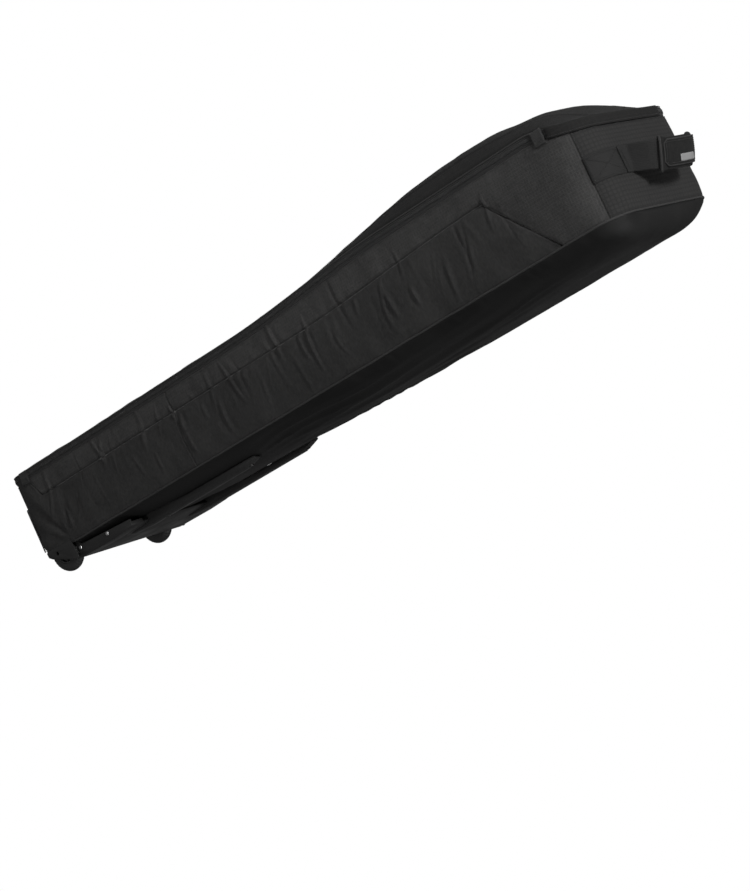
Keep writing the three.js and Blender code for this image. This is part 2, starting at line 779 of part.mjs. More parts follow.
for (const [name, side] of Object.entries(sides)) {
  runner(name, side);
}

// ---------------------------------------------------------------- haul handle

const handleHeight = handleSeamHeight + 93;
const webbingWidth = 50;
const webbingThickness = 2.2;
const anchorEnd = 74; // where the anchors leave the end panel
const handlePivotX = bodyLength + 14;
const loopHalf = 64;
const loopReach = 62;
const droop = THREE.MathUtils.degToRad(24);
const onWebbing = (extra = 0) => [
  () => handleHeight - webbingWidth / 2 - extra,
  () => handleHeight + webbingWidth / 2 + extra,
];

// Each anchor is sewn round the corner, and its loose end turns away from the bag to meet the loop.
for (const [name, side] of Object.entries(sides)) {
  const corner = cornerStations(true, side, seamAngle + 0.05, quarter, 5);
  const flat = spread(halfWidth - handleCornerRadius, anchorEnd, 2).slice(1)
    .map((y) => ({ x: bodyLength, y: side * y, nx: 1, ny: 0 }));
  const lift = { x: handlePivotX - 3, y: side * (loopHalf + 1.5), nx: 0.6, ny: side * 0.8 };
  add(bag, `handle_anchor_${name}`, 'webbing', wall(
    [...corner, ...flat, lift],
    ...onWebbing(),
    () => gap + webbingThickness,
    () => gap,
  ));
}

// The loop is drawn level about the pivot, then let down by the droop.
const handle = new THREE.Group();
handle.position.set(handlePivotX, 0, handleHeight);
handle.rotation.y = droop;
bag.add(handle);

function loopStations(fromAngle, toAngle, steps) {
  const squareness = 2 / 2.5;
  return spread(fromAngle, toAngle, steps).map((angle) => {
    const sine = Math.max(Math.sin(angle), 0);
    const cosine = Math.cos(angle);
    const nx = sine ** (2 - squareness) / loopReach;
    const ny = -Math.sign(cosine) * Math.abs(cosine) ** (2 - squareness) / loopHalf;
    const length = Math.hypot(nx, ny);
    return {
      x: loopReach * sine ** squareness,
      y: -loopHalf * Math.sign(cosine) * Math.abs(cosine) ** squareness,
      nx: nx / length,
      ny: ny / length,
    };
  });
}

const half = webbingWidth / 2;
const around = (extra) => [() => -half - extra, () => half + extra];

// The webbing is gathered where it leaves the anchors, so that the loop can swing.
const gathered = (station) => THREE.MathUtils.lerp(11, half, smooth(0, 26, station.x));

add(handle, 'handle_loop', 'webbing', wall(
  loopStations(0.02, Math.PI - 0.02, 28),
  (station) => -gathered(station),
  gathered,
  () => webbingThickness / 2,
  () => -webbingThickness / 2,
));

const wrapFrom = THREE.MathUtils.degToRad(46);
const wrapHalfThickness = 6.5;
const wrapRoom = webbingThickness / 2 + gap;
const wrapOutside = wall(loopStations(wrapFrom, Math.PI - wrapFrom, 12), ...around(5),
  (up) => wrapHalfThickness * (up > 0 && up < 1 ? 1 : 0.45),
  (up) => -wrapHalfThickness * (up > 0 && up < 1 ? 1 : 0.45),
  [0, 0.14, 0.86, 1]);
const wrapInside = wall(loopStations(wrapFrom - 0.2, Math.PI - wrapFrom + 0.2, 16), ...around(gap),
  () => wrapRoom, () => -wrapRoom);
add(handle, 'grip_wrap', 'shell_fabric', cut(wrapOutside, [wrapInside]));

const flap = new THREE.Group();
handle.add(flap);
const flapInset = 0.12;
const flapFace = wrapHalfThickness + gap;
const flapThickness = 2.6;
add(flap, 'grip_flap', 'shell_fabric', wall(
  loopStations(wrapFrom + flapInset, Math.PI - wrapFrom - flapInset, 10),
  () => -half + 3,
  () => half,
  () => flapFace + flapThickness,
  () => flapFace,
));

const patchHalf = 0.26;
add(flap, 'grip_patch', 'patch', wall(
  loopStations(quarter + 0.18 - patchHalf, quarter + 0.18 + patchHalf, 4),
  () => -half + 8,
  () => -half + 22,
  () => flapFace + flapThickness + gap + 0.8,
  () => flapFace + flapThickness + gap,
));

// ---------------------------------------------------------------- origin at the bottom centre

bag.updateMatrixWorld(true);
const extent = new THREE.Box3().setFromObject(bag);
bag.position.x = -(extent.min.x + extent.max.x) / 2;

export default bag;
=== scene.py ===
"""The looks of a wheeled, padded snowboard bag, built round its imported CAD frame.

Metres, +Z up. While a piece is being made, x runs from the wheel end (0) to the handle end
(BODY_LENGTH), y is 0 on the centre line with the zip side at -y, and z is 0 on the floor, as in the
CAD source. new_mesh() moves each piece along x into the frame.
"""

import math

import bpy
import numpy as np
from mathutils import Matrix, Vector


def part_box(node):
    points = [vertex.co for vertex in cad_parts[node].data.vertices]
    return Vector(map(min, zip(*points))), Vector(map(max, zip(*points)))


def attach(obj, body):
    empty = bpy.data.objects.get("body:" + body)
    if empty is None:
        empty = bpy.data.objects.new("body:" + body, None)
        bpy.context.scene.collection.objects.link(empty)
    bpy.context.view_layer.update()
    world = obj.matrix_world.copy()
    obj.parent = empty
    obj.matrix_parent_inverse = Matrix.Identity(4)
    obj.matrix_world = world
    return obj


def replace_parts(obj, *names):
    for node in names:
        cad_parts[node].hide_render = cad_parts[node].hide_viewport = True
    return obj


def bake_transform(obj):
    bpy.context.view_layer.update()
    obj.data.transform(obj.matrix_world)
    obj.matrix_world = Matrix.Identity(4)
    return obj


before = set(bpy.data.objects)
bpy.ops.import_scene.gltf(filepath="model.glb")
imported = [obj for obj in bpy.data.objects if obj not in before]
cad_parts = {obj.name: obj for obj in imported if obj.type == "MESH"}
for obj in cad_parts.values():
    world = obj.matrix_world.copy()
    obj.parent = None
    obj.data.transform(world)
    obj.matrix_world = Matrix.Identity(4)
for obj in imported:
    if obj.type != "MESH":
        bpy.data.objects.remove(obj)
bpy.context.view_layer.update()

# ---------------------------------------------------------------- driving dimensions, as in the CAD

BODY_LENGTH = 1.680
HALF_WIDTH = 0.165
SIDE_HEIGHT = 0.184
WHEEL_SEAM = 0.050
HANDLE_SEAM = 0.044
WHEEL_CORNER = 0.040
HANDLE_CORNER = 0.060
SEAM_ANGLE = math.radians(36)
NEAR, FAR = -1, 1
SIDES = {"near": NEAR, "far": FAR}

ZIP_HEIGHT = 0.015
ZIP_MIDDLE = 0.0076
FABRIC = 0.0025
WELT_HEIGHT = 0.0026

WHEEL_X, WHEEL_Y, WHEEL_RADIUS, WHEEL_WIDTH = 0.058, 0.138, 0.045, 0.024
HOUSING_OUTER = 0.156

HANDLE_HEIGHT = 0.137
HANDLE_PIVOT_X = 1.694
LOOP_HALF, LOOP_REACH = 0.064, 0.062
DROOP = math.radians(24)
WEBBING_WIDTH, WEBBING_THICKNESS = 0.050, 0.0022
BASE_START, BASE_END = 0.126, 1.6790

SHIFT = np.array([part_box("handle_end_panel")[1].x - BODY_LENGTH, 0.0, 0.0])


# ---------------------------------------------------------------- small helpers


def smooth(low, high, x):
    t = np.clip((np.asarray(x, float) - low) / (high - low), 0, 1)
    return t * t * (3 - 2 * t)


def lerp(a, b, t):
    return a + (b - a) * t


def spaced(low, high, cell):
    """Evenly spaced numbers about a cell apart, both ends included."""
    return np.linspace(low, high, max(round(abs(high - low) / cell), 1) + 1)


def with_close_ends(length, cell, close=0.0012):
    """Places from 0 to length, closer together near both ends, where a panel turns into its seam."""
    ends = np.cumsum([0, close, close, 1.5 * close, 2 * close])
    if length < 4 * ends[-1]:
        return spaced(0, length, close * 2)
    return np.concatenate([ends[:-1], spaced(ends[-1], length - ends[-1], cell), length - ends[-2::-1]])


def normalised(v):
    return v / np.maximum(np.linalg.norm(v, axis=-1, keepdims=True), 1e-12)


def lattice_noise(a, b, seed):
    """Smooth noise from -1 to 1 at places a, b, whose unit is one cell of the noise."""
    table = np.random.default_rng(seed).uniform(-1, 1, (64, 64))
    a, b = np.broadcast_arrays(np.asarray(a, float), np.asarray(b, float))
    i, j = np.floor(a).astype(int), np.floor(b).astype(int)
    u, v = smooth(0, 1, a - i), smooth(0, 1, b - j)
    at = lambda di, dj: table[(i + di) % 64, (j + dj) % 64]
    return lerp(lerp(at(0, 0), at(1, 0), u), lerp(at(0, 1), at(1, 1), u), v)


def fabric_noise(a, b, size, seed):
    """Three layers of noise, the largest with cells of that size."""
    total = 0
    for layer in range(3):
        scale = 2**layer / size
        total = total + lattice_noise(a * scale, b * scale, seed + layer) / 2**layer
    return total


# ---------------------------------------------------------------- meshes


def new_mesh(name, points, faces, material, uv=None, flat=False):
    """A mesh object from points in the bag's own coordinates. uv has a row for each point, in metres."""
    mesh = bpy.data.meshes.new(name)
    mesh.from_pydata((np.asarray(points, float) + SHIFT).tolist(), [], [list(f) for f in faces])
    if uv is not None:
        layer = mesh.uv_layers.new(name="metres")
        corners = np.zeros(len(mesh.loops), np.int32)
        mesh.loops.foreach_get("vertex_index", corners)
        layer.data.foreach_set("uv", np.asarray(uv, np.float32)[corners].ravel())
    mesh.materials.append(material)
    mesh.polygons.foreach_set("use_smooth", [not flat] * len(mesh.polygons))
    obj = bpy.data.objects.new(name, mesh)
    bpy.context.scene.collection.objects.link(obj)
    return obj


def outward(points, faces):
    """The faces, turned over if the closed mesh is inside out."""
    triangles = np.array([(f[0], f[k], f[k + 1]) for f in faces for k in range(1, len(f) - 1)])
    a, b, c = (points[triangles[:, k]] - points.mean(0) for k in range(3))
    if np.einsum("ij,ij->i", a, np.cross(b, c)).sum() < 0:
        return [tuple(reversed(f)) for f in faces]
    return faces


def grid_faces(rows, columns, start=0, around=False):
    """The quads between the points of a grid. around joins the last column to the first."""
    last = columns if around else columns - 1
    r, c = np.meshgrid(np.arange(rows - 1), np.arange(last), indexing="ij")
    n = (c + 1) % columns
    quads = np.stack([r * columns + c, r * columns + n, (r + 1) * columns + n, (r + 1) * columns + c], -1)
    return [tuple(q) for q in (quads.reshape(-1, 4) + start).tolist()]


def grid_normals(points, towards):
    """Unit normals of a grid of points, on the side that towards points to."""
    across = np.gradient(points, axis=1)
    up = np.gradient(points, axis=0)
    normals = normalised(np.cross(across, up))
    sign = np.sign(np.einsum("ijk,ijk->ij", normals, np.broadcast_to(towards, points.shape)))
    return normals * np.where(sign == 0, 1, sign)[..., None]


def skin(name, front, back, uv, material):
    """The closed solid between two matching grids of points."""
    rows, columns = front.shape[:2]
    size = rows * columns
    points = np.concatenate([front.reshape(-1, 3), back.reshape(-1, 3)])
    faces = grid_faces(rows, columns)
    faces += [tuple(reversed(f)) for f in grid_faces(rows, columns, size)]
    ids = np.arange(size).reshape(rows, columns)
    rim = np.concatenate([ids[0], ids[1:, -1], ids[-1, -2::-1], ids[-2:0:-1, 0]])
    following = np.roll(rim, -1)
    faces += [(b, a, a + size, b + size) for a, b in zip(rim.tolist(), following.tolist())]
    both = np.concatenate([uv.reshape(-1, 2)] * 2)
    return new_mesh(name, points, outward(points, faces), material, both)


def tube(name, path, radius, material, sides=8, closed=False, flatten=1.0, up=(0, 0, 1)):
    """A round cord along a path. radius may be one number or one for each point."""
    path = np.asarray(path, float)
    tangents = np.gradient(path, axis=0)
    if closed:
        tangents = np.roll(path, -1, 0) - np.roll(path, 1, 0)
    tangents = normalised(tangents)
    side = normalised(np.cross(tangents, np.broadcast_to(up, path.shape)))
    other = np.cross(side, tangents)
    angles = np.arange(sides) * 2 * math.pi / sides
    radii = np.broadcast_to(radius, len(path))[:, None, None]
    ring = side[:, None] * np.cos(angles)[None, :, None]
    ring = ring + other[:, None] * np.sin(angles)[None, :, None] * flatten
    points = (path[:, None] + ring * radii).reshape(-1, 3)
    rows = len(path)
    faces = grid_faces(rows, sides, around=True)
    if closed:
        last = (rows - 1) * sides
        faces += [(last + k, last + (k + 1) % sides, (k + 1) % sides, k) for k in range(sides)]
    else:
        faces += [tuple(range(sides))[::-1], tuple((rows - 1) * sides + k for k in range(sides))]
    steps = np.linalg.norm(np.diff(path, axis=0), axis=1)
    lengths = np.concatenate([[0], np.cumsum(steps)])
    uv = np.stack(np.broadcast_arrays(lengths[:, None], angles[None] * np.mean(radius)), -1).reshape(-1, 2)
    return new_mesh(name, points, outward(points, faces), material, uv)


def repeated(name, centres, forward, outwards, template, faces, material):
    """Copies of a small closed template at each centre. The template's axes are forward, side, out."""
    forward = normalised(forward)
    out = normalised(outwards - forward * np.einsum("ij,ij->i", outwards, forward)[:, None])
    side = np.cross(out, forward)
    axes = np.stack([forward, side, out], 1)
    points = (centres[:, None] + np.einsum("pk,nkd->npd", template, axes)).reshape(-1, 3)
    size = len(template)
    all_faces = (np.asarray(faces)[None] + np.arange(len(centres))[:, None, None] * size).reshape(-1, 4)
    return new_mesh(name, points, all_faces.tolist(), material)


def along_path(points, normals, pitch):
    """Centres, directions and normals at even steps along a path."""
    steps = np.linalg.norm(np.diff(points, axis=0), axis=1)
    lengths = np.concatenate([[0], np.cumsum(steps)])
    places = np.arange(pitch / 2, lengths[-1], pitch)
    pick = lambda data: np.stack([np.interp(places, lengths, data[:, k]) for k in range(3)], 1)
    ahead = np.stack([np.interp(places + pitch / 4, lengths, points[:, k]) for k in range(3)], 1)
    behind = np.stack([np.interp(places - pitch / 4, lengths, points[:, k]) for k in range(3)], 1)
    return pick(points), ahead - behind, pick(normals)


STITCH_LENGTH, STITCH_PITCH, THREAD = 0.0034, 0.0042, 0.00042


def stitch_template(length=STITCH_LENGTH, thread=THREAD):
    """A short thread that dips into the fabric at both ends."""
    rings = []
    bends = ((-0.5, -0.9, 0.6), (-0.38, 0.4, 1), (0, 0.9, 1.1), (0.38, 0.4, 1), (0.5, -0.9, 0.6))
    for place, height, width in bends:
        for side, up in ((1, 0), (0, 0.9), (-1, 0), (0, -0.9)):
            rings.append((place * length, side * width * thread, (height + up * width) * thread))
    faces = grid_faces(5, 4, around=True) + [(3, 2, 1, 0), (16, 17, 18, 19)]
    return np.array(rings), faces


def stitches(name, paths, body, material, pitch=STITCH_PITCH):
    """Rows of stitches along paths, each a pair of points and normals."""
    found = [along_path(points, normals, pitch) for points, normals in paths]
    centres, forward, out = (np.concatenate(part) for part in zip(*found))
    template, faces = stitch_template(pitch * STITCH_LENGTH / STITCH_PITCH)
    obj = repeated(name, centres, forward, out, template, faces, material)
    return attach(obj, body)


# ---------------------------------------------------------------- the bag's outer form


def seam_height(x):
    return WHEEL_SEAM + (HANDLE_SEAM - WHEEL_SEAM) * x / BODY_LENGTH


def top_height(x):
    boots = 0.020 * smooth(0.750, 1.200, x)
    return seam_height(x) + SIDE_HEIGHT + boots - 0.022 * smooth(1.560, 1.690, x)


def half_width_at(x):
    into_wheel = WHEEL_CORNER - x
    into_handle = x - (BODY_LENGTH - HANDLE_CORNER)
    at_wheel = into_wheel > 0
    into = np.where(at_wheel, into_wheel, np.maximum(into_handle, 0))
    radius = np.where(at_wheel, WHEEL_CORNER, HANDLE_CORNER)
    return HALF_WIDTH - radius + np.sqrt(np.maximum(radius**2 - into**2, 0))


def crown(x):
    boots = 0.046 * smooth(0.880, 1.340, x) * (1 - 0.75 * smooth(1.400, BODY_LENGTH, x))
    ends = smooth(-0.006, 0.060, x) * (1 - smooth(BODY_LENGTH - 0.090, BODY_LENGTH + 0.008, x))
    return (0.016 + boots) * ends


def lid_height(x, across):
    return top_height(x) + crown(x) * np.maximum(1 - np.abs(across) ** 2.6, 0) ** 0.85


def belly_depth(x):
    nose = 0.008 + 0.0165 * smooth(0.040, 0.160, x)
    belly = 0.0075 * smooth(0.290, 0.430, x) + 0.0072 * smooth(0.430, 1.000, x)
    into_end = np.clip((x - (BODY_LENGTH - HANDLE_CORNER)) / (BASE_END - BODY_LENGTH + HANDLE_CORNER), 0, 1)
    return (nose + belly) * np.sqrt(1 - into_end**2)


def base_height(x, y):
    across = np.minimum(np.abs(y) / half_width_at(x), 1)
    fullness = 2 + 2 * smooth(0.640, 1.100, x)
    into_end = smooth(BASE_END - 0.012, BASE_END, x)
    sewn = 0.0038 * np.maximum(across**24, into_end)
    return seam_height(x) - 0.002 - FABRIC + sewn - belly_depth(x) * (1 - across**fullness)


# The outline seen from above is measured from the middle of the wheel end, along the near side, to the
# middle of the handle end. Places before the start and past the end are on the far side.
WHEEL_STRAIGHT = HALF_WIDTH - WHEEL_CORNER
SIDE_FROM = WHEEL_STRAIGHT + WHEEL_CORNER * math.pi / 2
SIDE_TO = SIDE_FROM + BODY_LENGTH - WHEEL_CORNER - HANDLE_CORNER
HANDLE_FROM = SIDE_TO + HANDLE_CORNER * math.pi / 2
OUTLINE_LENGTH = HANDLE_FROM + HALF_WIDTH - HANDLE_CORNER
WHEEL_SEAM_AT = SIDE_FROM - WHEEL_CORNER * SEAM_ANGLE
HANDLE_SEAM_AT = SIDE_TO + HANDLE_CORNER * SEAM_ANGLE


def at_x(x):
    """The place along the outline of a point of the straight side."""
    return SIDE_FROM + x - WHEEL_CORNER


def outline(s):
    """Points of the outline and their outward normals, seen from above: x, y, normal x, normal y."""
    s = np.asarray(s, float)
    flipped = (s < 0) | (s > OUTLINE_LENGTH)
    side = np.where(flipped, FAR, NEAR)
    s = np.where(s < 0, -s, np.where(s > OUTLINE_LENGTH, 2 * OUTLINE_LENGTH - s, s))
    wheel = np.clip((SIDE_FROM - s) / WHEEL_CORNER, 0, math.pi / 2)
    handle = np.clip((s - SIDE_TO) / HANDLE_CORNER, 0, math.pi / 2)
    x = np.clip(s - SIDE_FROM + WHEEL_CORNER, WHEEL_CORNER, BODY_LENGTH - HANDLE_CORNER)
    x = x - WHEEL_CORNER * np.sin(wheel) + HANDLE_CORNER * np.sin(handle)
    y = HALF_WIDTH - WHEEL_CORNER * (1 - np.cos(wheel)) - HANDLE_CORNER * (1 - np.cos(handle))
    y = np.where(s < WHEEL_STRAIGHT, s, np.where(s > HANDLE_FROM, OUTLINE_LENGTH - s, y))
    nx = np.sin(handle) - np.sin(wheel)
    ny = np.cos(handle) * np.cos(wheel)
    return x, side * y, nx, side * ny


def on_wall(s, z, out=0.0, side=NEAR):
    """Points that stand out of the walls, and the walls' normals there."""
    x, y, nx, ny = outline(s)
    x, y, nx, ny, z, out = np.broadcast_arrays(x, y, nx, ny, z, out)
    flip = 1 if side == NEAR else -1
    points = np.stack([x + nx * out, flip * (y + ny * out), z], -1)
    return points, np.stack([nx, flip * ny, np.zeros_like(nx)], -1)


# ---------------------------------------------------------------- materials


class Look:
    """A procedural material under construction, with short calls for its nodes."""

    def __init__(self, name, roughness, specular=0.5, metallic=0.0, sheen=0.0, coat=0.0):
        self.material = bpy.data.materials.new(name)
        self.material.use_nodes = True
        self.tree = self.material.node_tree
        self.shader = self.tree.nodes["Principled BSDF"]
        settings = {
            "Roughness": roughness,
            "Specular IOR Level": specular,
            "Metallic": metallic,
            "Sheen Weight": sheen,
            "Sheen Roughness": 0.6,
            "Coat Weight": coat,
        }
        for socket, value in settings.items():
            self.shader.inputs[socket].default_value = value

    def node(self, kind, inputs=(), **settings):
        made = self.tree.nodes.new(kind)
        for key, value in settings.items():
            setattr(made, key, value)
        for socket, value in dict(inputs).items():
            self.put(made.inputs[socket], value)
        return made

    def put(self, socket, value):
        if isinstance(value, bpy.types.NodeSocket):
            self.tree.links.new(value, socket)
        else:
            socket.default_value = value

    def math(self, operation, a, b=0.0):
        return self.node("ShaderNodeMath", {0: a, 1: b}, operation=operation).outputs[0]

    def metres(self):
        """The place on the cloth in metres, from its UVs, as two sockets."""
        uv = self.node("ShaderNodeUVMap", uv_map="metres")
        parts = self.node("ShaderNodeSeparateXYZ", {0: uv.outputs[0]})
        return parts.outputs[0], parts.outputs[1]

    def noise(self, scale, detail=3.0, where="Object", stretch=(1, 1, 1)):
        if where == "UV":
            place = self.node("ShaderNodeUVMap", uv_map="metres").outputs[0]
        else:
            place = self.node("ShaderNodeTexCoord").outputs[where]
        mapped = self.node("ShaderNodeMapping", {"Vector": place, "Scale": stretch}).outputs[0]
        made = self.node("ShaderNodeTexNoise", {"Vector": mapped, "Scale": scale, "Detail": detail})
        return made.outputs[0]

    def ramp(self, value, low, high, from_low=0.0, from_high=1.0):
        """value from a range to another, held inside it."""
        inputs = {"Value": value, "From Min": from_low, "From Max": from_high, "To Min": low, "To Max": high}
        return self.node("ShaderNodeMapRange", inputs).outputs[0]

    def colours(self, dark, light, factor):
        mix = self.node("ShaderNodeMix", data_type="RGBA")
        self.put(mix.inputs[0], factor)
        mix.inputs[6].default_value = (*dark, 1)
        mix.inputs[7].default_value = (*light, 1)
        return mix.outputs[2]

    def colour(self, value):
        self.put(self.shader.inputs["Base Color"], value)

    def roughness(self, value):
        self.put(self.shader.inputs["Roughness"], value)

    def bump(self, height, distance, strength=1.0, under=None):
        inputs = {"Height": height, "Distance": distance, "Strength": strength}
        made = self.node("ShaderNodeBump", inputs)
        if under is not None:
            self.put(made.inputs["Normal"], under)
        self.put(self.shader.inputs["Normal"], made.outputs[0])
        return made.outputs[0]

    def threads(self, across, pitch):
        """Rounded threads a pitch apart, from 0 between them to 1 on top."""
        turns = self.math("MULTIPLY", across, math.pi / pitch)
        return self.math("ABSOLUTE", self.math("SINE", turns))

    def weave(self, u, v, pitch):
        """The height of a plain weave, from 0 to 1."""
        column = self.math("FLOOR", self.math("DIVIDE", u, pitch))
        row = self.math("FLOOR", self.math("DIVIDE", v, pitch))
        odd = self.math("ABSOLUTE", self.math("MODULO", self.math("ADD", column, row), 2.0))
        warp = self.math("MULTIPLY", self.threads(u, pitch), odd)
        weft = self.math("MULTIPLY", self.threads(v, pitch), self.math("SUBTRACT", 1.0, odd))
        return self.math("ADD", warp, weft)

    def lines(self, across, pitch, width):
        """1 on thin lines a pitch apart, and 0 between them."""
        place = self.math(
            "ABSOLUTE", self.math("SUBTRACT", self.math("FRACT", self.math("DIVIDE", across, pitch)), 0.5)
        )
        return self.ramp(place, 0, 1, 0.5 - width / pitch, 0.5 - width / pitch / 3)


def grey(value, warmth=0.0):
    return (value * (1 + warmth), value, value * (1 - warmth))


def woven(name, shade, pitch, grid=None, grid_painted_highlight=0.0, roughness=0.9, specular=0.10, sheen=0.012):
    """Matt woven cloth, with a grid of thicker threads if grid gives its pitch, whose raised tops are painted
    lighter as a painted highlight.
    """
    look = Look(name, roughness, specular, sheen=sheen)
    u, v = look.metres()
    height = look.weave(u, v, pitch)
    patches = look.noise(9, 4, "UV")
    fibres = look.noise(420, 2, "UV", (1, 0.25, 1))
    flecks = look.noise(210, 2, "UV", (1, 0.6, 1))
    fibres = look.math("ADD", look.math("MULTIPLY", fibres, 0.4), look.math("MULTIPLY", flecks, 0.6))
    tone = look.ramp(
        look.math("ADD", look.math("MULTIPLY", patches, 0.4), look.math("MULTIPLY", fibres, 0.6)), 0, 1,
        0.36, 0.64
    )
    if grid:
        ribs = look.math("MAXIMUM", look.lines(u, grid, pitch * 1.3), look.lines(v, grid, pitch * 1.3))
        height = look.math("ADD", height, look.math("MULTIPLY", ribs, 1.6))
        # The raised grid threads are painted lighter than the cloth between them. This painted highlight on
        # the ribs is added to the real random tone.
        tone = look.math("ADD", tone, look.math("MULTIPLY", ribs, grid_painted_highlight))
    look.colour(look.colours(grey(shade * 0.72), grey(shade * 1.28, 0.015), tone))
    look.roughness(look.ramp(patches, roughness - 0.06, roughness + 0.05, 0.3, 0.7))
    creases = look.noise(55, 3, "UV", (1, 0.5, 1))
    under = look.bump(creases, 0.0009, 0.35)
    look.bump(height, pitch * 0.35, 0.5, under)
    return look.material


def dobby(name, shade):
    """Cloth woven in a grid of small raised squares, for the handle end, with painted shade in the grooves
    between them.
    """
    look = Look(name, 0.88, 0.10, sheen=0.012)
    u, v = look.metres()
    squares = look.math("MULTIPLY", look.threads(u, 0.0082), look.threads(v, 0.0082))
    raised = look.ramp(squares, 0, 1, 0.22, 0.5)
    patches = look.noise(9, 4, "UV")
    # Half the tone is painted shade: darker in the grooves between the raised squares and lighter on them.
    # The other half is real random patches.
    tone = look.math("ADD", look.math("MULTIPLY", raised, 0.5), look.math("MULTIPLY", patches, 0.5))
    look.colour(look.colours(grey(shade * 0.74), grey(shade * 1.22, 0.015), tone))
    under = look.bump(raised, 0.0007, 0.6)
    look.bump(look.weave(u, v, 0.0009), 0.0003, 0.4, under)
    return look.material


def coated(name, shade):
    """Smooth coated cloth: a fine grain over a faint weave, with soft scuffs."""
    look = Look(name, 0.50, 0.14)
    u, v = look.metres()
    scuffs = look.noise(14, 6, "UV", (0.35, 1, 1))
    look.colour(look.colours(grey(shade * 0.85), grey(shade * 1.3, 0.01), look.ramp(scuffs, 0, 1, 0.4, 0.75)))
    look.roughness(look.ramp(scuffs, 0.46, 0.62, 0.35, 0.7))
    under = look.bump(look.noise(900, 2, "UV"), 0.0002, 0.3)
    look.bump(look.weave(u, v, 0.0011), 0.00012, 0.35, under)
    return look.material


def ribbed(name, shade, rib=0.0016):
    """Webbing: ribs across its width and rows along it, with painted shade in the grooves between them."""
    look = Look(name, 0.8, 0.16, sheen=0.012)
    u, v = look.metres()
    slant = look.math("ADD", u, look.math("MULTIPLY", look.threads(v, 0.006), 0.0012))
    ribs = look.threads(slant, rib)
    rows = look.threads(v, 0.003)
    # The colour is painted shade: darkest in the grooves between ribs and between rows, and lightest on their
    # tops.
    tone = look.math("MULTIPLY", ribs, rows)
    look.colour(look.colours(grey(shade * 0.7), grey(shade * 1.3, 0.01), tone))
    look.bump(look.math("ADD", ribs, rows), 0.0003, 0.6)
    return look.material


def moulded(name, shade, roughness, grain=1500, depth=0.00012, wear=0.35, specular=0.35):
    """Moulded plastic or rubber with a fine grain, lighter where it is rubbed, with patchy roughness."""
    look = Look(name, roughness, specular)
    patches = look.noise(22, 5)
    scratches = look.noise(180, 3, "Object", (0.12, 1, 1))
    rubbed = look.ramp(scratches, 0, wear, 0.55, 0.72)
    tone = look.math("ADD", look.math("MULTIPLY", patches, 0.5), rubbed)
    look.colour(look.colours(grey(shade * 0.85), grey(shade * 1.35, 0.01), tone))
    look.roughness(look.ramp(patches, roughness - 0.06, roughness + 0.1, 0.3, 0.7))
    under = look.bump(scratches, 0.00015, 0.3)
    look.bump(look.noise(grain, 1), depth, 0.5, under)
    return look.material


def metal(name, shade, roughness):
    look = Look(name, roughness, metallic=1.0)
    marks = look.noise(260, 4, "Object", (1, 1, 0.2))
    look.colour(look.colours(grey(shade * 0.75), grey(shade * 1.1), look.ramp(marks, 0, 1, 0.3, 0.7)))
    look.roughness(look.ramp(marks, roughness - 0.06, roughness + 0.14, 0.3, 0.7))
    look.bump(marks, 0.00008, 0.3)
    return look.material


def quilted(name, shade):
    """Thin lining cloth over foam, quilted in small diamonds."""
    look = Look(name, 0.85, 0.15, sheen=0.05)
    u, v = look.metres()
    up = look.math("ADD", u, v)
    down = look.math("SUBTRACT", u, v)
    swell = look.math("MULTIPLY", look.threads(up, 0.045), look.threads(down, 0.045))
    soft = look.math("POWER", swell, 0.4)
    patches = look.noise(12, 3, "UV")
    look.colour(look.colours(grey(shade * 0.8), grey(shade * 1.15, 0.01), patches))
    under = look.bump(soft, 0.002, 0.6)
    look.bump(look.weave(u, v, 0.0006), 0.0002, 0.4, under)
    return look.material


def thread_look(name, shade):
    look = Look(name, 0.7, 0.25)
    twist = look.noise(2500, 1)
    look.colour(look.colours(grey(shade * 0.7), grey(shade * 1.3, 0.01), twist))
    look.bump(twist, 0.00015, 0.5)
    return look.material


SIDE_CLOTH = woven("side_cloth", 0.0190, 0.0009)
RIPSTOP = woven("ripstop_cloth", 0.0250, 0.0009, grid=0.0056, grid_painted_highlight=0.30)
END_CLOTH = dobby("end_cloth", 0.0160)
LID_CLOTH = woven("lid_cloth", 0.0085, 0.0009, grid=0.0078, grid_painted_highlight=0.35)
BASE_CLOTH = coated("base_cloth", 0.0072)
WEBBING = ribbed("webbing", 0.0105)
PIPING = woven("piping_cloth", 0.0170, 0.0006, roughness=0.7, specular=0.25)
ZIP_TAPE = ribbed("zip_tape", 0.0215, 0.0009)
ZIP_TEETH = moulded("zip_teeth", 0.0170, 0.75)
WRAP_CLOTH = woven("wrap_cloth", 0.0080, 0.0007)
BINDING = woven("binding_tape", 0.0150, 0.0006, roughness=0.75, specular=0.2)
LINING = quilted("lining_cloth", 0.060)
MOULDING = moulded("moulding", 0.0090, 0.45, specular=0.28)
RUNNER = moulded("runner_plastic", 0.0120, 0.42, wear=0.8, specular=0.3)
BOARD = moulded("board", 0.040, 0.6)
TYRE = moulded("tyre_rubber", 0.0130, 0.55, grain=900)
WHEEL_CORE = moulded("wheel_core", 0.0200, 0.4)
STEEL = metal("zinc_steel", 0.50, 0.32)
BLACK_METAL = metal("black_metal", 0.030, 0.38)
PATCH = moulded("blank_patch", 0.150, 0.55, wear=0.2)
THREAD_LOOK = thread_look("thread", 0.022)
DARK_THREAD = thread_look("dark_thread", 0.010)


# ---------------------------------------------------------------- cloth


class Cloth:
    """A piece of cloth sewn down round its edge, as a grid of points with its plain form."""

    def __init__(self, name, along, up, place, towards, slack, relief, cap, seed, flat_of):
        self.name = name
        self.along = along
        self.up = up
        self.place = place
        self.flat_of = flat_of
        self.points = place(along[None, :], up[:, None])
        self.towards = towards
        self.facing = np.broadcast_to(towards(along[None, :], up[:, None]), self.points.shape)
        self.slack = slack
        self.relief = relief
        self.cap = cap
        self.seed = seed
        self.raised = np.zeros(self.points.shape[:2])


CLOTH_FRAMES = 20


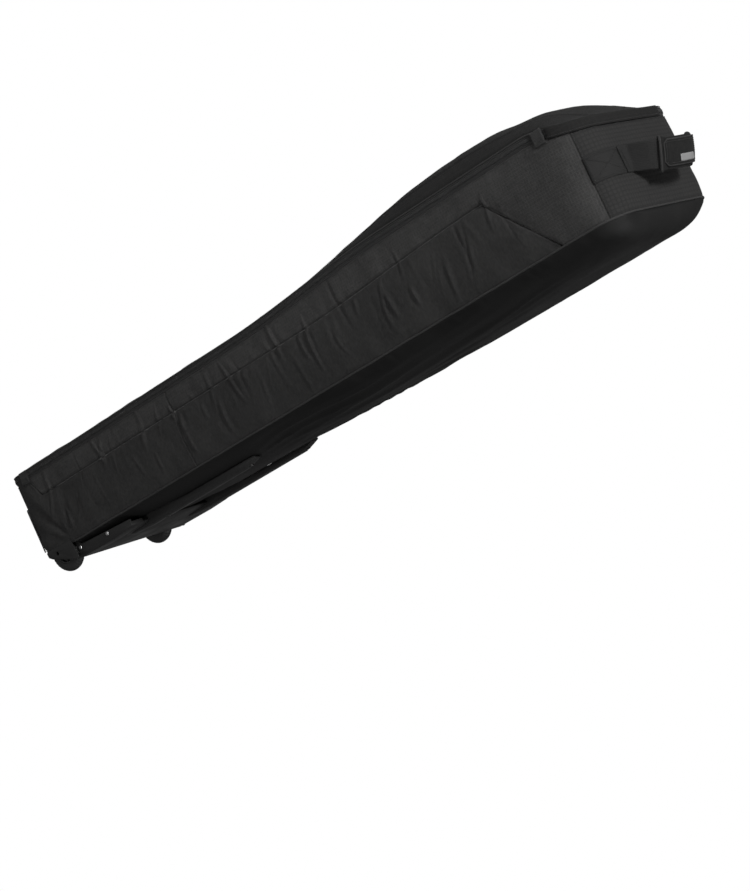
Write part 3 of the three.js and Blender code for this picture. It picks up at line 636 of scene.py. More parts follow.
def cloth_object(cloth):
    rows, columns = cloth.points.shape[:2]
    mesh = bpy.data.meshes.new(cloth.name + "_simulated")
    start = cloth.points.reshape(-1, 3)
    ripple = fabric_noise(start[:, 0] + cloth.seed, start[:, 1] + start[:, 2], 0.05, cloth.seed) * 0.0008
    start = start + ripple[:, None] * cloth.facing.reshape(-1, 3)
    faces = grid_faces(rows, columns)
    if np.dot(np.cross(start[1] - start[0], start[columns] - start[0]), cloth.facing[0, 0]) < 0:
        faces = [tuple(reversed(face)) for face in faces]
    mesh.from_pydata(start.tolist(), [], faces)
    obj = bpy.data.objects.new(mesh.name, mesh)
    bpy.context.scene.collection.objects.link(obj)
    obj.shape_key_add(name="sewn")
    cut_size = obj.shape_key_add(name="cut")
    centre = start.mean(0)
    cut_size.data.foreach_set("co", (centre + (start - centre) * (1 + np.array(cloth.slack))).ravel())
    ids = np.arange(rows * columns).reshape(rows, columns)
    edge = np.unique(np.concatenate([ids[0], ids[-1], ids[:, 0], ids[:, -1]]))
    pins = obj.vertex_groups.new(name="sewn")
    pins.add(edge.tolist(), 1.0, "REPLACE")
    modifier = obj.modifiers.new("cloth", "CLOTH")
    settings = modifier.settings
    settings.quality = 6
    settings.mass = 0.25
    settings.tension_stiffness = 25
    settings.compression_stiffness = 25
    settings.shear_stiffness = 8
    settings.bending_stiffness = 0.6
    settings.air_damping = 3
    settings.vertex_group_mass = pins.name
    settings.rest_shape_key = cut_size
    settings.effector_weights.gravity = 0
    settings.use_pressure = True
    settings.uniform_pressure_force = 0.6
    modifier.collision_settings.use_collision = False
    modifier.point_cache.frame_start = 1
    modifier.point_cache.frame_end = CLOTH_FRAMES
    return obj


def settle(cloths):
    """Lets every piece of cloth buckle between its seams, and keeps how far each point rose."""
    scene = bpy.context.scene
    objects = [cloth_object(cloth) for cloth in cloths]
    for number in range(1, CLOTH_FRAMES + 1):
        scene.frame_set(number)
    graph = bpy.context.evaluated_depsgraph_get()
    for cloth, obj in zip(cloths, objects):
        moved = np.zeros(cloth.points.size)
        obj.evaluated_get(graph).data.vertices.foreach_get("co", moved)
        moved = moved.reshape(cloth.points.shape) - cloth.points
        normals = grid_normals(cloth.points, cloth.facing)
        raised = np.einsum("ijk,ijk->ij", moved, normals)
        usual = np.percentile(np.abs(raised - np.median(raised)), 90)
        cloth.raised = cloth.cap * np.tanh(raised * cloth.relief / max(usual, 1e-5) / cloth.cap)
    for obj in objects:
        bpy.data.objects.remove(obj)
    scene.frame_set(1)


def finer(data, rows, columns):
    """A grid of numbers at fractional rows and columns, on smooth curves through its own."""
    for axis, places in ((0, rows), (1, columns)):
        data = np.moveaxis(data, axis, 0)
        last = len(data) - 1
        start = np.clip(np.floor(places).astype(int), 0, last - 1)
        t = (places - start).reshape(-1, *[1] * (data.ndim - 1))
        before, here, there, after = (data[np.clip(start + k, 0, last)] for k in (-1, 0, 1, 2))
        slope_here, slope_there = (there - before) / 2, (after - here) / 2
        data = (
            here * (2 * t**3 - 3 * t**2 + 1)
            + slope_here * (t**3 - 2 * t**2 + t)
            + there * (3 * t**2 - 2 * t**3)
            + slope_there * (t**3 - t**2)
        )
        data = np.moveaxis(data, 0, axis)
    return data


class Panel:
    """A finished panel: its outer face as a fine grid, which details are placed on."""

    def __init__(
        self, cloth, cell, detail=None, roll=0.0018, pucker=0.0009, thickness=0.0022, most=0.012, also=()
    ):
        width = cloth.along[-1] - cloth.along[0]
        flat = cloth.flat_of(cloth.along[None, :], cloth.up[:, None])
        tall = np.abs(flat[-1, :, 1] - flat[0, :, 1]).max()
        self.along = np.unique(np.concatenate([cloth.along[0] + with_close_ends(width, cell[0]), also]))
        self.up = with_close_ends(tall, cell[1]) / tall
        a, u = self.along[None, :], self.up[:, None]
        self.flat = np.broadcast_to(cloth.flat_of(a, u), (len(self.up), len(self.along), 2))
        plain = cloth.place(a, u)
        normals = grid_normals(plain, cloth.towards(a, u))
        rows = np.interp(self.up, cloth.up, np.arange(len(cloth.up)))
        columns = np.interp(self.along, cloth.along, np.arange(len(cloth.along)))
        raised = finer(cloth.raised, rows, columns)
        here = self.flat[..., 1]
        to_low, to_high = np.abs(here - here[:1]), np.abs(here - here[-1:])
        to_start, to_end = a - a[:, :1] + 0 * u, a[:, -1:] - a + 0 * u
        nearest = np.minimum(np.minimum(to_low, to_high), np.minimum(to_start, to_end))
        seam = np.minimum(to_low, to_high)
        sewn = smooth(0, 0.006, nearest)
        nearer_edge = np.where(to_low < to_high, 0, 7)
        gathers = lattice_noise(self.flat[..., 0] / 0.011, 0 * here + nearer_edge, cloth.seed + 9)
        gathers = gathers * np.exp(-seam / 0.015) * pucker * sewn
        crumple = fabric_noise(self.flat[..., 0], here * 0.6, 0.030, cloth.seed + 20) * 0.00035 * sewn
        edge = -roll * np.exp(-((nearest / 0.0024) ** 2))
        raised = raised * smooth(0, 0.012, nearest) + gathers + crumple + edge
        if detail is not None:
            raised = raised + detail(self.flat[..., 0], here)
        raised = np.where(raised > 0, most * np.tanh(raised / most), raised)
        self.points = plain + normals * raised[..., None]
        self.normals = grid_normals(self.points, normals)
        self.inward = -normals
        self.thickness = thickness

    def mesh(self, name, material):
        back = self.points + self.inward * self.thickness
        return skin(name, self.points, back, self.flat, material)

    def at(self, along, up, lift=0.0):
        """Points on the panel and its normals there."""
        along, up = np.broadcast_arrays(np.asarray(along, float), np.asarray(up, float))
        column = np.interp(along, self.along, np.arange(len(self.along)))
        row = np.interp(up, self.up, np.arange(len(self.up)))
        c = np.minimum(column.astype(int), len(self.along) - 2)
        r = np.minimum(row.astype(int), len(self.up) - 2)
        s, t = (column - c)[..., None], (row - r)[..., None]
        mix = lambda grid: lerp(
            lerp(grid[r, c], grid[r, c + 1], s), lerp(grid[r + 1, c], grid[r + 1, c + 1], s), t
        )
        normals = normalised(mix(self.normals))
        return mix(self.points) + normals * lift, normals

    def row(self, start, end, from_edge, at_top=True, lift=0.0003):
        """A path a distance from the panel's upper or lower edge."""
        along = spaced(start, end, 0.004)
        heights = np.stack([np.interp(along, self.along, self.flat[k, :, 1]) for k in (0, -1)])
        tall = np.abs(heights[1] - heights[0])
        share = from_edge / np.maximum(tall, from_edge * 2)
        return self.at(along, 1 - share if at_top else share, lift)

    def column(self, along, lift=0.0003, from_up=0.02, to_up=0.98):
        return self.at(along, np.linspace(from_up, to_up, 60), lift)


def wall_cloth(name, start, end, low, high, bulge, slack, relief, cap, seed, side=NEAR, cell=0.009):
    """Cloth on the walls, between two heights given for x. It swells outwards between its seams."""

    def place(s, u):
        x = outline(s)[0]
        tall = high(x) - low(x)
        ends = smooth(0, 0.05, s - start) * smooth(0, 0.05, end - s)
        swell = bulge(x) * (1 - np.abs(2 * u - 1) ** 2.4) * ends * np.minimum(tall / 0.09, 1)
        return on_wall(s, lerp(low(x), high(x), u), swell, side)[0]

    def towards(s, u):
        return on_wall(s, 0.0 * u, 0.0, side)[1]

    def flat_of(s, u):
        x = outline(s)[0]
        return np.stack(np.broadcast_arrays(s, lerp(low(x), high(x), u)), -1)

    tallest = np.max(high(outline(spaced(start, end, 0.05))[0]) - low(outline(spaced(start, end, 0.05))[0]))
    along, up = spaced(start, end, cell), spaced(0, 1, cell / tallest)
    return Cloth(name, along, up, place, towards, slack, relief, cap, seed, flat_of)


def plan_cloth(name, start, end, inset, height, slack, relief, cap, seed, towards, cell=0.011):
    """Cloth over or under the bag, with its height given for x and y."""

    def place(x, u):
        y = (2 * u - 1) * (half_width_at(x) - inset)
        x, y = np.broadcast_arrays(x, y)
        return np.stack([x, y, height(x, y)], -1)

    def flat_of(x, u):
        y = (2 * u - 1) * (half_width_at(x) - inset)
        return np.stack(np.broadcast_arrays(x, y), -1)

    facing = lambda x, u: np.array([0.0, 0.0, towards])
    along, up = spaced(start, end, cell), spaced(0, 1, cell / (2 * HALF_WIDTH))
    return Cloth(name, along, up, place, facing, slack, relief, cap, seed, flat_of)


# ---------------------------------------------------------------- the bag's cloth panels

SEAM_GAP = 0.0006
STRAP_SEAM_START, STRAP_SEAM_CORNER = 0.084, 0.058
STRAP_SEAM_END, STRAP_SEAM_FOOT = 1.431, 1.553
CROSS_SEAM_X = 0.535
LID_EDGE = 0.0010


def middle_seam(x):
    return seam_height(x) + 0.122 + 0.020 * smooth(0.900, STRAP_SEAM_END, x)


def split_height(x):
    """The seam between the upper and lower side panels, with its slanting ends."""
    x = np.asarray(x, float)
    towards_wheel = (STRAP_SEAM_START - x) / (STRAP_SEAM_START - STRAP_SEAM_CORNER)
    wheel = lerp(middle_seam(STRAP_SEAM_START), top_height(STRAP_SEAM_CORNER) - ZIP_HEIGHT, towards_wheel)
    towards_handle = (x - STRAP_SEAM_END) / (STRAP_SEAM_FOOT - STRAP_SEAM_END)
    handle = lerp(middle_seam(STRAP_SEAM_END), seam_height(STRAP_SEAM_FOOT), towards_handle)
    return np.where(x < STRAP_SEAM_START, wheel, np.where(x > STRAP_SEAM_END, handle, middle_seam(x)))


def panel_top(x):
    return top_height(x) - ZIP_HEIGHT - 0.0010


def panel_foot(x):
    """The lower edge: just over the piping, and over the round corner of the moulding."""
    into = np.clip(0.035 - np.asarray(x, float), 0, 0.030)
    return seam_height(x) - 0.0006 + 0.030 - np.sqrt(0.030**2 - into**2)


def far_top(x):
    at_hinge = (np.asarray(x) > WHEEL_CORNER) & (np.asarray(x) < BODY_LENGTH - HANDLE_CORNER)
    return np.where(at_hinge, top_height(x) - 0.002, panel_top(x))


SIDE_TOPS = {"near": panel_top, "far": far_top}
cloths = {}

for place, (side_name, side) in enumerate(SIDES.items()):
    top_of = SIDE_TOPS[side_name]
    cloths["lower_" + side_name] = wall_cloth(
        "side_lower_panel_" + side_name,
        WHEEL_SEAM_AT,
        at_x(STRAP_SEAM_FOOT - 0.006),
        panel_foot,
        lambda x, top=top_of: np.minimum(
            np.maximum(split_height(x) - SEAM_GAP, panel_foot(x) + 0.002), top(x)
        ),
        lambda x: 0.0045 * smooth(0.060, 0.260, x),
        (0.022, 0.0, 0.003),
        0.0016,
        0.0045,
        3 + place,
        side,
    )
    cloths["upper_" + side_name] = wall_cloth(
        "side_upper_panel_" + side_name,
        at_x(STRAP_SEAM_CORNER + 0.002),
        HANDLE_SEAM_AT,
        lambda x, top=top_of: np.minimum(
            np.maximum(split_height(x) + SEAM_GAP, panel_foot(x)), top(x) - 0.002
        ),
        top_of,
        lambda x: 0.0015 + 0.0045 * smooth(1.400, 1.520, x),
        (0.016, 0.0, 0.002),
        0.0013,
        0.0040,
        13 + place,
        side,
    )



def lid_face(x, y):
    """The outer face of the lid, which comes down to its piping at the edge."""
    across = np.minimum(np.abs(y) / (half_width_at(x) - LID_EDGE), 1)
    into_end = 1 - smooth(0, 0.008, np.minimum(x, BODY_LENGTH - x) - LID_EDGE)
    return lid_height(x, across) + 0.0031 - 0.0017 * np.maximum(across**30, into_end)


cloths["wheel_end"] = wall_cloth(
    "wheel_end_panel",
    -WHEEL_SEAM_AT,
    WHEEL_SEAM_AT,
    lambda x: 0.084 + 0 * x,
    panel_top,
    lambda x: 0.0020 + 0 * x,
    (0.0, 0.012, 0.0),
    0.0010,
    0.0030,
    31,
)
cloths["handle_end"] = wall_cloth(
    "handle_end_panel",
    HANDLE_SEAM_AT,
    2 * OUTLINE_LENGTH - HANDLE_SEAM_AT,
    lambda x: seam_height(x) - 0.0006,
    panel_top,
    lambda x: 0.0050 + 0 * x,
    (0.004, 0.012, 0.004),
    0.0012,
    0.0035,
    37,
)
cloths["base"] = plan_cloth(
    "base_panel",
    BASE_START,
    BASE_END,
    0.0006,
    base_height,
    (0.018, 0.012, 0.0),
    0.0030,
    0.0060,
    41,
    -1,
)
cloths["lid"] = plan_cloth(
    "lid_panel",
    LID_EDGE,
    BODY_LENGTH - LID_EDGE,
    LID_EDGE,
    lid_face,
    (0.016, 0.012, 0.0),
    0.0026,
    0.0060,
    47,
    1,
)

settle(list(cloths.values()))

# The runners hold the base flat between them.
base_cloth = cloths["base"]
base_cloth.raised *= (0.15 + 0.85 * smooth(0.620, 0.760, base_cloth.along))[None, :]


def side_creases(x, z, seed):
    """Upright creases where a long side was folded in the hand, each with one sharp crest."""
    chance = np.random.default_rng(seed)
    total = 0 * (x + z)
    for place in np.arange(0.10, 1.50, 0.026):
        centre_x = place + chance.uniform(-0.018, 0.018)
        centre_z = chance.uniform(0.085, 0.190)
        half_long = chance.uniform(0.025, 0.075)
        lean = chance.normal(0.0, 0.16)
        bend = chance.normal(0.0, 1.6)
        width = chance.uniform(0.0022, 0.0045)
        height = chance.uniform(0.0007, 0.0031) * (1 if chance.random() < 0.8 else -0.7)
        along = z - centre_z
        across = x - centre_x - lean * along - bend * along**2
        fade = np.clip(1 - (along / half_long) ** 2, 0, 1) ** 1.5
        dips = np.exp(-(((np.abs(across) - 2.4 * width) / (1.5 * width)) ** 2))
        crest = np.exp(-((across / width) ** 2)) - 0.45 * dips
        total = total + height * crest * fade
    return total


def corner_creases(x, z):
    """Creases in the lower side panel that run up from the wheel's housing."""
    dx, dz = x - 0.120, z - 0.052
    distance = np.hypot(dx, dz)
    angle = np.arctan2(dz, dx)
    rays = lattice_noise(angle * 4.5, distance / 0.12, 53)
    rays = 0.0044 * rays * smooth(0.012, 0.05, distance)
    return rays * (1 - smooth(0.06, 0.24, distance)) * smooth(0, 0.02, dz)


def cross_seam(x, z):
    """The upright seam through both side panels."""
    return -0.0028 * np.exp(-(((x - CROSS_SEAM_X) / 0.0017) ** 2)) + 0 * z


def side_detail(seed, is_lower):
    def detail(s, z):
        x = s - SIDE_FROM + WHEEL_CORNER
        inside = smooth(0.060, 0.100, x) * (1 - smooth(1.450, 1.560, x))
        creases = side_creases(x, z, seed) * inside
        return creases + cross_seam(x, z) + (corner_creases(x, z) if is_lower else 0)

    return detail


def base_folds(x, y):
    """Long soft folds that fan out along the belly, sharper on one side."""
    across = y / HALF_WIDTH
    spread = across * (1.15 - 0.35 * smooth(0.55, 1.30, x))
    bent = spread + 0.16 * lattice_noise(x * 4.0, 0 * x, 61)
    waves = lattice_noise(x * 2.6 + 2.0 * bent, bent * 6.5, 62)
    waves = waves + 0.5 * lattice_noise(x * 5.0 - 3.0 * bent, bent * 12.0, 63)
    ridges = 0.45 - 1.6 * np.abs(np.clip(waves, -1, 1)) ** 0.8
    middle = smooth(0.60, 0.76, x) * (1 - smooth(1.20, 1.62, x)) * (1 - np.abs(across) ** 4)
    return 0.0046 * ridges * middle


def lid_seam_y(x):
    """Half the distance between the lid's two long seams, which close in on the handle end."""
    return 0.128 - 0.050 * smooth(1.520, 1.660, x) ** 1.5


def lid_seams(x, y):
    return -0.0022 * np.exp(-(((np.abs(y) - lid_seam_y(x)) / 0.0026) ** 2))


PANEL_CELL = (0.0026, 0.0050)
BESIDE_CROSS_SEAM = at_x(CROSS_SEAM_X) + np.linspace(-0.0045, 0.0045, 13)
panels = {}
for number, side_name in enumerate(SIDES):
    seed = 140 + number
    panels["lower_" + side_name] = Panel(
        cloths["lower_" + side_name], PANEL_CELL, side_detail(seed, True), also=BESIDE_CROSS_SEAM
    )
    panels["upper_" + side_name] = Panel(
        cloths["upper_" + side_name], PANEL_CELL, side_detail(seed, False), also=BESIDE_CROSS_SEAM
    )
panels["wheel_end"] = Panel(cloths["wheel_end"], PANEL_CELL)
panels["handle_end"] = Panel(cloths["handle_end"], PANEL_CELL)
panels["base"] = Panel(cloths["base"], (0.0050, 0.0050), base_folds, roll=-0.0006, pucker=0.0012, most=0.0020)
panels["lid"] = Panel(cloths["lid"], (0.0050, 0.0050), lid_seams, roll=0.0022)

PANEL_PIECES = {
    "lower_near": ("side_lower_near", "side_lower_panel_near", SIDE_CLOTH, "bag"),
    "lower_far": ("side_lower_far", "side_lower_panel_far", SIDE_CLOTH, "bag"),
    "upper_near": ("side_upper_near", "side_upper_panel_near", RIPSTOP, "bag"),
    "upper_far": ("side_upper_far", "side_upper_panel_far", RIPSTOP, "bag"),
    "wheel_end": ("wheel_end_cloth", "wheel_end_panel", SIDE_CLOTH, "bag"),
    "handle_end": ("handle_end_cloth", "handle_end_panel", END_CLOTH, "bag"),
    "base": ("base_cloth", "base_panel", BASE_CLOTH, "bag"),
    "lid": ("lid_cloth", "lid_panel", LID_CLOTH, "lid"),
}
for key, (piece_name, node, material, body) in PANEL_PIECES.items():
    piece = panels[key].mesh(piece_name, material)
    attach(piece, body)
    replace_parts(piece, node)

# ---------------------------------------------------------------- stitching on the panels

TOPSTITCH = 0.0034
for side_name in SIDES:
    lower, upper = panels["lower_" + side_name], panels["upper_" + side_name]
    seam_from, seam_to = at_x(STRAP_SEAM_START), at_x(STRAP_SEAM_END)
    cross = at_x(CROSS_SEAM_X)
    rows = [
        upper.row(seam_from, seam_to, TOPSTITCH, at_top=False),
        upper.row(seam_to, at_x(STRAP_SEAM_FOOT), TOPSTITCH, at_top=False),
        upper.row(upper.along[0] + 0.03, upper.along[-1], TOPSTITCH),
        upper.column(HANDLE_SEAM_AT - TOPSTITCH),
        lower.column(WHEEL_SEAM_AT + TOPSTITCH),
        lower.column(cross + TOPSTITCH),
        lower.column(cross - TOPSTITCH),
        upper.column(cross + TOPSTITCH),
    ]
    stitches("side_stitches_" + side_name, rows, "bag", THREAD_LOOK)

end = panels["handle_end"]
rows = [end.column(HANDLE_SEAM_AT + TOPSTITCH), end.column(2 * OUTLINE_LENGTH - HANDLE_SEAM_AT - TOPSTITCH)]
rows += [end.row(end.along[0] + 0.002, end.along[-1] - 0.002, TOPSTITCH)]
stitches("handle_end_stitches", rows, "bag", THREAD_LOOK)

end = panels["wheel_end"]
rows = [end.row(end.along[0] + 0.002, end.along[-1] - 0.002, TOPSTITCH)]
stitches("wheel_end_stitches", rows, "bag", THREAD_LOOK)

lid = panels["lid"]
lid_x = spaced(0.03, 1.655, 0.006)
rows = []
for side in SIDES.values():
    for offset in (-0.0055, 0.0055):
        y = side * lid_seam_y(lid_x) + offset
        rows.append(lid.at(lid_x, 0.5 + y / (half_width_at(lid_x) - LID_EDGE) / 2, 0.0003))
stitches("lid_stitches", rows, "lid", THREAD_LOOK)

# ---------------------------------------------------------------- piping and welt

piping_s = np.concatenate([
    spaced(at_x(0.118), 2 * OUTLINE_LENGTH - at_x(0.118), 0.006),
])
path, _ = on_wall(piping_s, 0.0, 0.0004)
path[:, 2] = seam_height(path[:, 0])
waver = lattice_noise(piping_s / 0.05, 0 * piping_s, 71) * 0.0004
piping = tube("bottom_piping_cord", path + np.stack([0 * waver, 0 * waver, waver], 1), 0.0019, PIPING, 10)
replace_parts(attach(piping, "bag"), "bottom_piping")

ZIP_FROM, ZIP_TO = -SIDE_FROM, 2 * OUTLINE_LENGTH - SIDE_TO
welt_s = spaced(ZIP_FROM, ZIP_TO, 0.006)
path, _ = on_wall(welt_s, 0.0, -0.0002)
path[:, 2] = top_height(path[:, 0]) + WELT_HEIGHT / 2
welt = tube("lid_welt_cord", path, 0.0017 - 0.0008 * smooth(at_x(1.590), SIDE_TO, welt_s), PIPING, 10)
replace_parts(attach(welt, "lid"), "lid_welt")

# ---------------------------------------------------------------- zip


def tape(name, low, high, body, node, tuck=0.0):
    """One half of the zip's tape, with a slight wave along it. Its lower edge is tucked in."""
    s = spaced(ZIP_FROM, ZIP_TO, 0.005)
    up = np.linspace(0, 1, 7)
    x = outline(s)[0]
    z = top_height(x)[None, :] + lerp(low, high, up)[:, None]
    wave = 0.0002 * lattice_noise(s / 0.02, 0 * s, 73)[None, :] * np.sin(up * math.pi)[:, None]
    tucked = tuck * np.exp(-up / 0.12)[:, None]
    front, normals = on_wall(s[None, :] + 0 * z, z, wave - 0.0002 - tucked)
    flat = np.stack(np.broadcast_arrays(s[None, :], z), -1)
    piece = skin(name, front, front - normals * 0.0012, flat, ZIP_TAPE)
    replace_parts(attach(piece, body), node)


def teeth(name, direction, shift, body):
    """A row of coil teeth along the middle of the zip. Each reaches a little past the middle."""
    pitch = 0.0019
    s = np.arange(ZIP_FROM + 0.002 + shift * pitch, ZIP_TO - 0.002, pitch)
    x = outline(s)[0]
    centres, normals = on_wall(s, top_height(x) - ZIP_MIDDLE + direction * 0.0013, 0.0007)
    forward = on_wall(s + 0.0005, 0.0)[0] - on_wall(s - 0.0005, 0.0)[0]
    half_long, half_wide = 0.0018, 0.00048
    rings = []
    for place, height, wide in ((-1, 0.1, 0.7), (-0.7, 0.75, 1), (0.5, 0.85, 1), (1, 0.2, 1.2)):
        for across, up in ((-1, -0.8), (1, -0.8), (0.7, 1), (-0.7, 1)):
            rings.append((across * wide * half_wide, place * half_long * direction, (height + up) * 0.0005))
    template = np.array(rings)
    faces = outward(template, grid_faces(4, 4, around=True) + [(3, 2, 1, 0), (12, 13, 14, 15)])
    # The template's side axis is normal x forward, which points down where forward runs with s.
    template = template * np.array([1, -1, 1])
    faces = [tuple(reversed(f)) for f in faces]
    piece = repeated(name, centres, forward, normals, template, faces, ZIP_TEETH)
    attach(piece, body)


tape("zip_tape_lower", -ZIP_HEIGHT - 0.0025, -ZIP_MIDDLE - 0.0002, "bag", "zip_lower_half", 0.0018)
tape("zip_tape_upper", -ZIP_MIDDLE + 0.0002, -0.0004, "lid", "zip_upper_half")
teeth("zip_teeth_lower", -1, 0.0, "bag")
teeth("zip_teeth_upper", 1, 0.5, "lid")

tape_s = spaced(ZIP_FROM + 0.002, ZIP_TO - 0.002, 0.006)
for name, below_top, body in (("zip_stitches_lower", 0.0125, "bag"), ("zip_stitches_upper", 0.0024, "lid")):
    x = outline(tape_s)[0]
    stitches(name, [on_wall(tape_s, top_height(x) - below_top, 0.0002)], body, THREAD_LOOK)

# ---------------------------------------------------------------- flap over the zip at the handle end

FLAP_HANG = 0.0172
flap_s = spaced(SIDE_TO, 2 * OUTLINE_LENGTH - HANDLE_FROM, 0.005)
flap_up = np.array([0, 0.06, 0.15, 0.3, 0.5, 0.7, 0.85, 0.94, 1])
flap_x = outline(flap_s)[0]
flap_z = top_height(flap_x)[None, :] + lerp(-FLAP_HANG, WELT_HEIGHT, flap_up)[:, None]
edge_turn = -0.0006 * np.exp(-((np.minimum(flap_up, 1 - flap_up) / 0.06) ** 2))
flutter = 0.0006 * lattice_noise(flap_s / 0.03, 0 * flap_s, 79)
hang = edge_turn[:, None] + flutter[None, :] * (1 - flap_up)[:, None]
front, normals = on_wall(flap_s[None, :] + 0 * flap_z, flap_z, 0.0034 + hang)
flat = np.stack(np.broadcast_arrays(flap_s[None, :], flap_z), -1)
zip_flap = skin("zip_cover_flap", front, front - normals * 0.0016, flat, LID_CLOTH)
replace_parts(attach(zip_flap, "lid"), "zip_flap")
hem = [(front[k] + normals[k] * 0.0004, normals[k]) for k in (2,)]
stitches("zip_flap_stitches", hem, "lid", THREAD_LOOK)

# ---------------------------------------------------------------- fabric hinge along the far edge

HINGE_START, HINGE_END = 0.090, 1.590
hinge_x = spaced(HINGE_START, HINGE_END, 0.007)
hinge_rows = [(-0.0235, 0.0024), (-0.020, 0.0030), (-0.014, 0.0032), (-0.008, 0.0030), (-0.004, 0.0026)]
hinge_rows += [(0.000, 0.0016), (0.0022, -0.0004), (0.0036, -0.0040), (0.0046, -0.0090), (0.0052, -0.0140)]
top = top_height(hinge_x)
front = []
for rise, out in hinge_rows:
    ripple = 0.0005 * lattice_noise(hinge_x / 0.03, 0 * hinge_x + rise * 200, 83)
    lift = np.maximum(lid_height(hinge_x, (HALF_WIDTH + out) / HALF_WIDTH) - top, 0) if out < 0 else 0
    front.append(np.stack([hinge_x, HALF_WIDTH + out + ripple, top + rise + lift], 1))
front = np.array(front)
normals = grid_normals(front, np.array([0.0, 0.8, 0.6]))
arc = np.cumsum([0] + [math.hypot(b[0] - a[0], b[1] - a[1]) for a, b in zip(hinge_rows, hinge_rows[1:])])
flat = np.stack(np.broadcast_arrays(hinge_x[None, :], arc[:, None]), -1)
hinge = skin("lid_hinge_cloth", front, front - normals * 0.0010, flat, WEBBING)
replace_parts(hinge, "lid_hinge_tape")
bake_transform(hinge)
stitches("hinge_stitches_bag", [(front[1] + normals[1] * 0.0003, normals[1])], "bag", THREAD_LOOK)
stitches("hinge_stitches_lid", [(front[-2] + normals[-2] * 0.0003, normals[-2])], "lid", THREAD_LOOK)


# ---------------------------------------------------------------- straps


def strap(name, centres, widths, half_width, thickness, material, swell=0.0):
    """A flat strap along centres, with the direction of its width at each, and rounded edges."""
    centres, widths = np.asarray(centres, float), normalised(np.asarray(widths, float))
    tangents = normalised(np.gradient(centres, axis=0))
    normals = normalised(np.cross(widths, tangents))
    widths = np.cross(tangents, normals)
    half = np.broadcast_to(half_width, len(centres))
    across = np.array([-1, -0.97, -0.9, -0.6, -0.3, 0, 0.3, 0.6, 0.9, 0.97, 1])
    bevel = np.clip((1 - np.abs(across)) / 0.04, 0.15, 1)
    thick = thickness / 2 * bevel + swell * (1 - across**2)
    place = centres[:, None] + widths[:, None] * (across[None, :, None] * half[:, None, None])
    front = place + normals[:, None] * thick[None, :, None]
    back = place - normals[:, None] * thick[None, :, None]
    steps = np.linalg.norm(np.diff(centres, axis=0), axis=1)
    lengths = np.concatenate([[0], np.cumsum(steps)])
    flat = np.stack(np.broadcast_arrays(lengths[:, None], across[None, :] * np.mean(half)), -1)
    return skin(name, front, back, flat, material), (place, normals)


def box_stitch(corners, normal_of):
    """The paths of a stitched box with a cross in it. corners are its four points, in order."""
    a, b, c, d = corners
    paths = []
    for start, end in ((a, b), (b, c), (c, d), (d, a), (a, c), (b, d)):
        line = np.linspace(start, end, 14)
        paths.append((line, normal_of(line)))
    return paths


def loop_point(angle, height=0.0, out=0.0):
    """A point of the haul handle's loop, in the bag's coordinates, with its outward normal."""
    squareness = 2 / 2.5
    angle = np.asarray(angle, float)
    sine, cosine = np.maximum(np.sin(angle), 0), np.cos(angle)
    nx = sine ** (2 - squareness) / LOOP_REACH
    ny = -np.sign(cosine) * np.abs(cosine) ** (2 - squareness) / LOOP_HALF
    size = np.hypot(nx, ny)
    nx, ny = nx / size, ny / size
    x = LOOP_REACH * sine**squareness + nx * out
    y = -LOOP_HALF * np.sign(cosine) * np.abs(cosine) ** squareness + ny * out
    x, y, z, nx, ny = np.broadcast_arrays(x, y, height, nx, ny)
    turned = lambda px, py, pz: np.stack(
        [px * math.cos(DROOP) + pz * math.sin(DROOP), py, pz * math.cos(DROOP) - px * math.sin(DROOP)], -1
    )
    origin = np.array([HANDLE_PIVOT_X, 0, HANDLE_HEIGHT])
    return turned(x, y, z) + origin, turned(nx, ny, 0 * nx)


LOOP_UP = np.array([math.sin(DROOP), 0, math.cos(DROOP)])
UPRIGHT = np.array([0.0, 0.0, 1.0])
STRAP_OUT = 0.0006 + WEBBING_THICKNESS / 2

# Near to far: flat on the end of the bag, out round the loop, and back flat on the end.
FOLD_Y = 0.088
loop_angles = np.linspace(0.30, math.pi - 0.30, 60)
loop_centres = loop_point(loop_angles)[0]
flat_y = np.linspace(FOLD_Y, 0.074, 5)
lead_x = 0 * flat_y + BODY_LENGTH + STRAP_OUT + WEBBING_THICKNESS + 0.0006
lead = np.stack([lead_x, -flat_y, 0 * flat_y + HANDLE_HEIGHT], 1)
lead[:, 0] += 0.0045
turn = np.array([[HANDLE_PIVOT_X - 0.0030, -0.0690, HANDLE_HEIGHT - 0.0005]])
route = np.concatenate([lead, turn, loop_centres, turn * [1, -1, 1], (lead * [1, -1, 1])[::-1]])
steps = np.linalg.norm(np.diff(route, axis=0), axis=1)
lengths = np.concatenate([[0], np.cumsum(steps)])
even = np.linspace(0, lengths[-1], 120)
route = np.stack([np.interp(even, lengths, route[:, k]) for k in range(3)], 1)
for _ in range(6):
    route[1:-1] = (route[:-2] + 2 * route[1:-1] + route[2:]) / 4
leaning = smooth(0.0, 0.035, route[:, 0] - (HANDLE_PIVOT_X - 0.004))
widths = normalised(UPRIGHT * (1 - leaning)[:, None] + LOOP_UP * leaning[:, None])
haul_strap, _ = strap("haul_strap", route, widths, WEBBING_WIDTH / 2, WEBBING_THICKNESS, WEBBING)
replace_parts(haul_strap, "handle_loop")
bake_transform(haul_strap)


